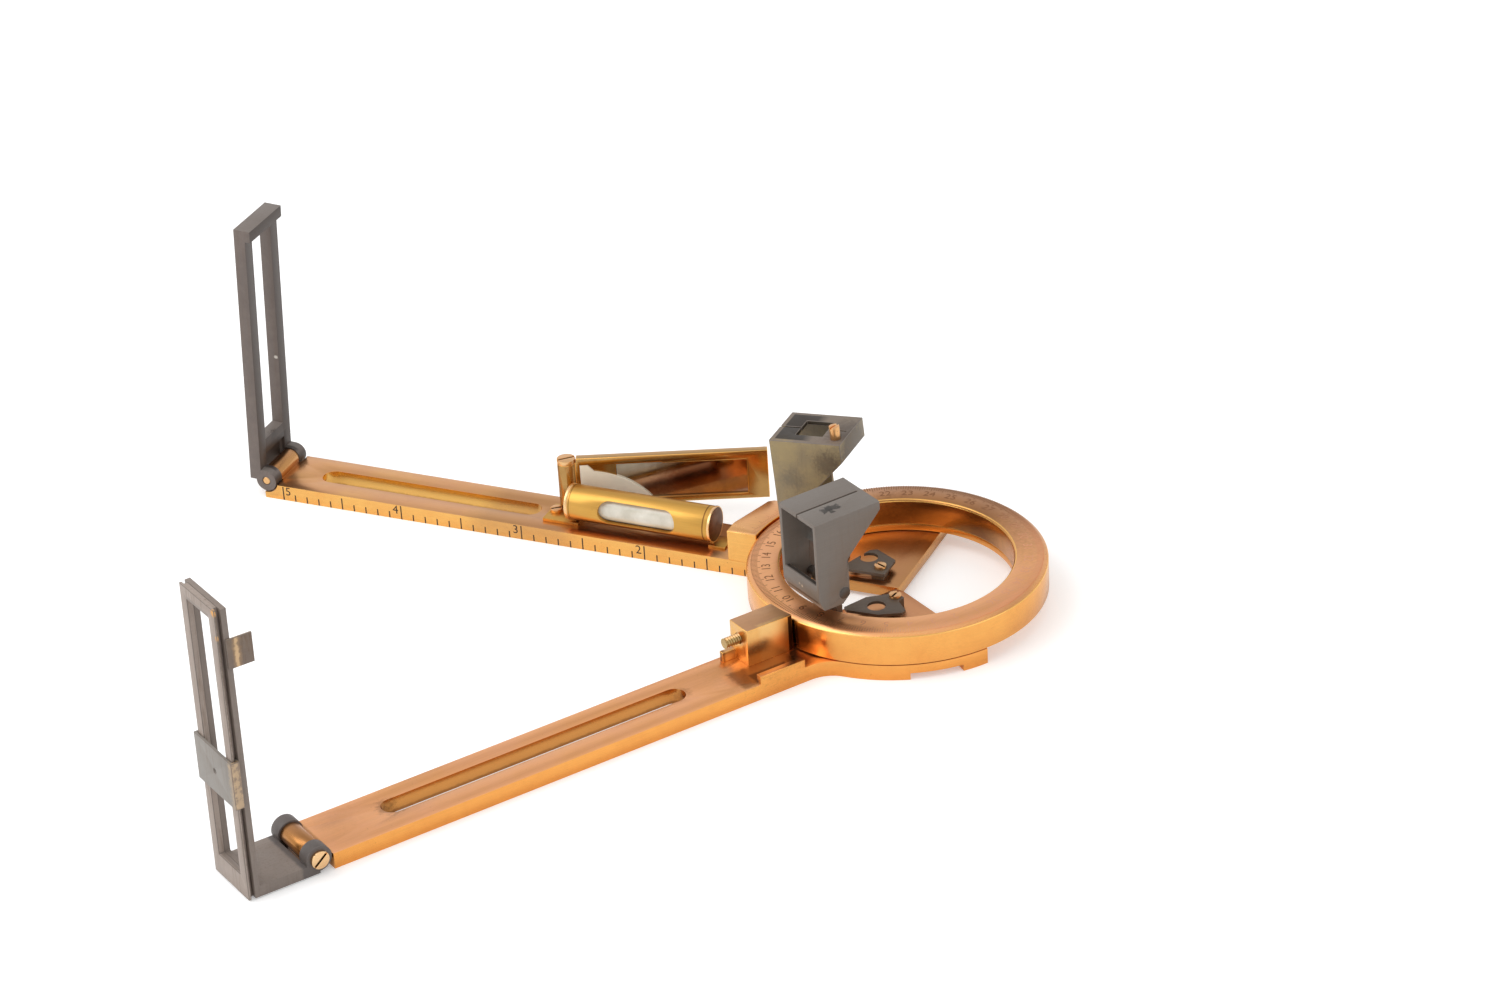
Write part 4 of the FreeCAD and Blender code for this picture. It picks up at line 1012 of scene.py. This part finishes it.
class PROTRACTOR_OT_stage(bpy.types.Operator):
    """Set the table, the soft light and the camera"""
    bl_idname = "protractor.stage"
    bl_label = "Stage"

    def execute(self, context):
        stage = look("stage")
        self.table(stage)
        self.studio(context.scene)
        self.lamp("key_light", stage.key, 1.0, (0.75, -0.35, 0.85))
        self.lamp("fill_light", stage.key * 0.25, 0.8, (-0.4, 0.8, 0.55))
        self.camera(context.scene, stage.lens)
        context.scene.view_settings.view_transform = "Standard"
        return {"FINISHED"}

    def table(self, stage):
        """A pale table that looks white but keeps the object's shadow."""
        reach = 3.0
        seen_direct, seen_in_metal = 0.28, 0.12
        material = bpy.data.materials.new("table_white")
        material.use_nodes = True
        tree = material.node_tree
        tree.nodes.clear()
        diffuse = add(tree, "BsdfDiffuse", Color=(*stage.floor, 1))
        glow = add(tree, "Emission", Color=(1, 1, 1, 1))
        path = add(tree, "LightPath").outputs
        direct = maths(tree, "MAXIMUM", path["Is Camera Ray"], path["Is Transmission Ray"])
        seen = maths(tree, "MAXIMUM", times(tree, direct, seen_direct),
                     times(tree, path["Is Glossy Ray"], seen_in_metal))
        feed(tree, seen, glow.inputs["Strength"])
        both = add(tree, "AddShader")
        feed(tree, diffuse.outputs[0], both.inputs[0])
        feed(tree, glow.outputs[0], both.inputs[1])
        out = add(tree, "OutputMaterial")
        feed(tree, both.outputs[0], out.inputs["Surface"])
        mesh = bpy.data.meshes.new("table")
        corners = [(-reach, -reach, 0), (reach, -reach, 0), (reach, reach, 0), (-reach, reach, 0)]
        mesh.from_pydata(corners, [], [(0, 1, 2, 3)])
        mesh.materials.append(material)
        link(bpy.data.objects.new("table", mesh))

    def studio(self, scene):
        """Soft light from all round, dimmer halfway up and toward the camera's right."""
        leftward = (0.848, -0.530, 0)
        world = bpy.data.worlds.new("studio")
        scene.world = world
        world.use_nodes = True
        tree = world.node_tree
        tree.nodes.clear()
        direction = add(tree, "TexCoord").outputs["Generated"]
        level = ramp(tree, split(tree, direction)[2], (0.0, 1.0), (0.25, 0.92), (0.52, 0.90), (0.64, 0.66),
                     (0.73, 0.58), (0.82, 0.80), (0.95, 1.0))
        lean = vectors(tree, "DOT_PRODUCT", direction, leftward, output="Value")
        level = mix(tree, 1.0, level, plus(tree, times(tree, lean, 0.11), 0.95), "MULTIPLY")
        rays = add(tree, "LightPath")
        seen = mix(tree, rays.outputs["Is Camera Ray"], level, (1, 1, 1))
        back = add(tree, "Background", Strength=1.0)
        feed(tree, seen, back.inputs["Color"])
        out = add(tree, "OutputWorld")
        feed(tree, back.outputs[0], out.inputs["Surface"])

    def lamp(self, name, power, size, place):
        """A square soft light, aimed at the near edge of the ring."""
        aim = Vector((0.03, 0, 0))
        light = bpy.data.lights.new(name, "AREA")
        light.energy = power
        light.size = size
        holder = link(bpy.data.objects.new(name, light))
        holder.location = place
        holder.rotation_mode = "QUATERNION"
        holder.rotation_quaternion = (aim - Vector(place)).to_track_quat("-Z", "Y")

    def camera(self, scene, lens):
        """The view of the photograph: tilted down, rolled a little, and swung about the ring's axis."""
        tilt, roll, swing = math.radians(29.007), math.radians(-3.492), math.radians(-212)
        eye = Vector((-25.947, -694.609, 408.229)) * MM
        around = Matrix.Rotation(swing, 4, "Z")
        down = Matrix.Rotation(math.pi / 2 - tilt, 4, "X")
        camera = bpy.data.cameras.new("camera")
        camera.sensor_width = 36
        camera.lens = lens
        camera.clip_start = 0.05
        camera.clip_end = 20
        holder = link(bpy.data.objects.new("camera", camera))
        holder.matrix_world = around @ Matrix.Translation(eye) @ down @ Matrix.Rotation(roll, 4, "Z")
        scene.camera = holder


OPERATORS = (PROTRACTOR_OT_arms, PROTRACTOR_OT_ring, PROTRACTOR_OT_clamp, PROTRACTOR_OT_level,
             PROTRACTOR_OT_mirror, PROTRACTOR_OT_vanes, PROTRACTOR_OT_boxes, PROTRACTOR_OT_scales,
             PROTRACTOR_OT_stage)


class PROTRACTOR_PT_panel(bpy.types.Panel):
    """Settings and pieces of the surveying protractor"""
    bl_idname = "PROTRACTOR_PT_panel"
    bl_label = "Surveying Protractor"
    bl_space_type = "VIEW_3D"
    bl_region_type = "UI"
    bl_category = "Protractor"

    def draw(self, context):
        for name, group in LOOKS.items():
            box = self.layout.box()
            box.label(text=name.capitalize())
            for key in group.__annotations__:
                box.prop(look(name), key)
        for operator in OPERATORS:
            self.layout.operator(operator.bl_idname)


def register():
    for name, group in LOOKS.items():
        bpy.utils.register_class(group)
        setattr(bpy.types.Scene, "protractor_" + name, PointerProperty(type=group))
    for item in (*OPERATORS, PROTRACTOR_PT_panel):
        bpy.utils.register_class(item)


def unregister():
    for item in (PROTRACTOR_PT_panel, *reversed(OPERATORS)):
        bpy.utils.unregister_class(item)
    for name, group in LOOKS.items():
        delattr(bpy.types.Scene, "protractor_" + name)
        bpy.utils.unregister_class(group)


def main():
    register()
    for operator in OPERATORS:
        group, name = operator.bl_idname.split(".")
        getattr(getattr(bpy.ops, group), name)()


if __name__ == "__main__":
    main()
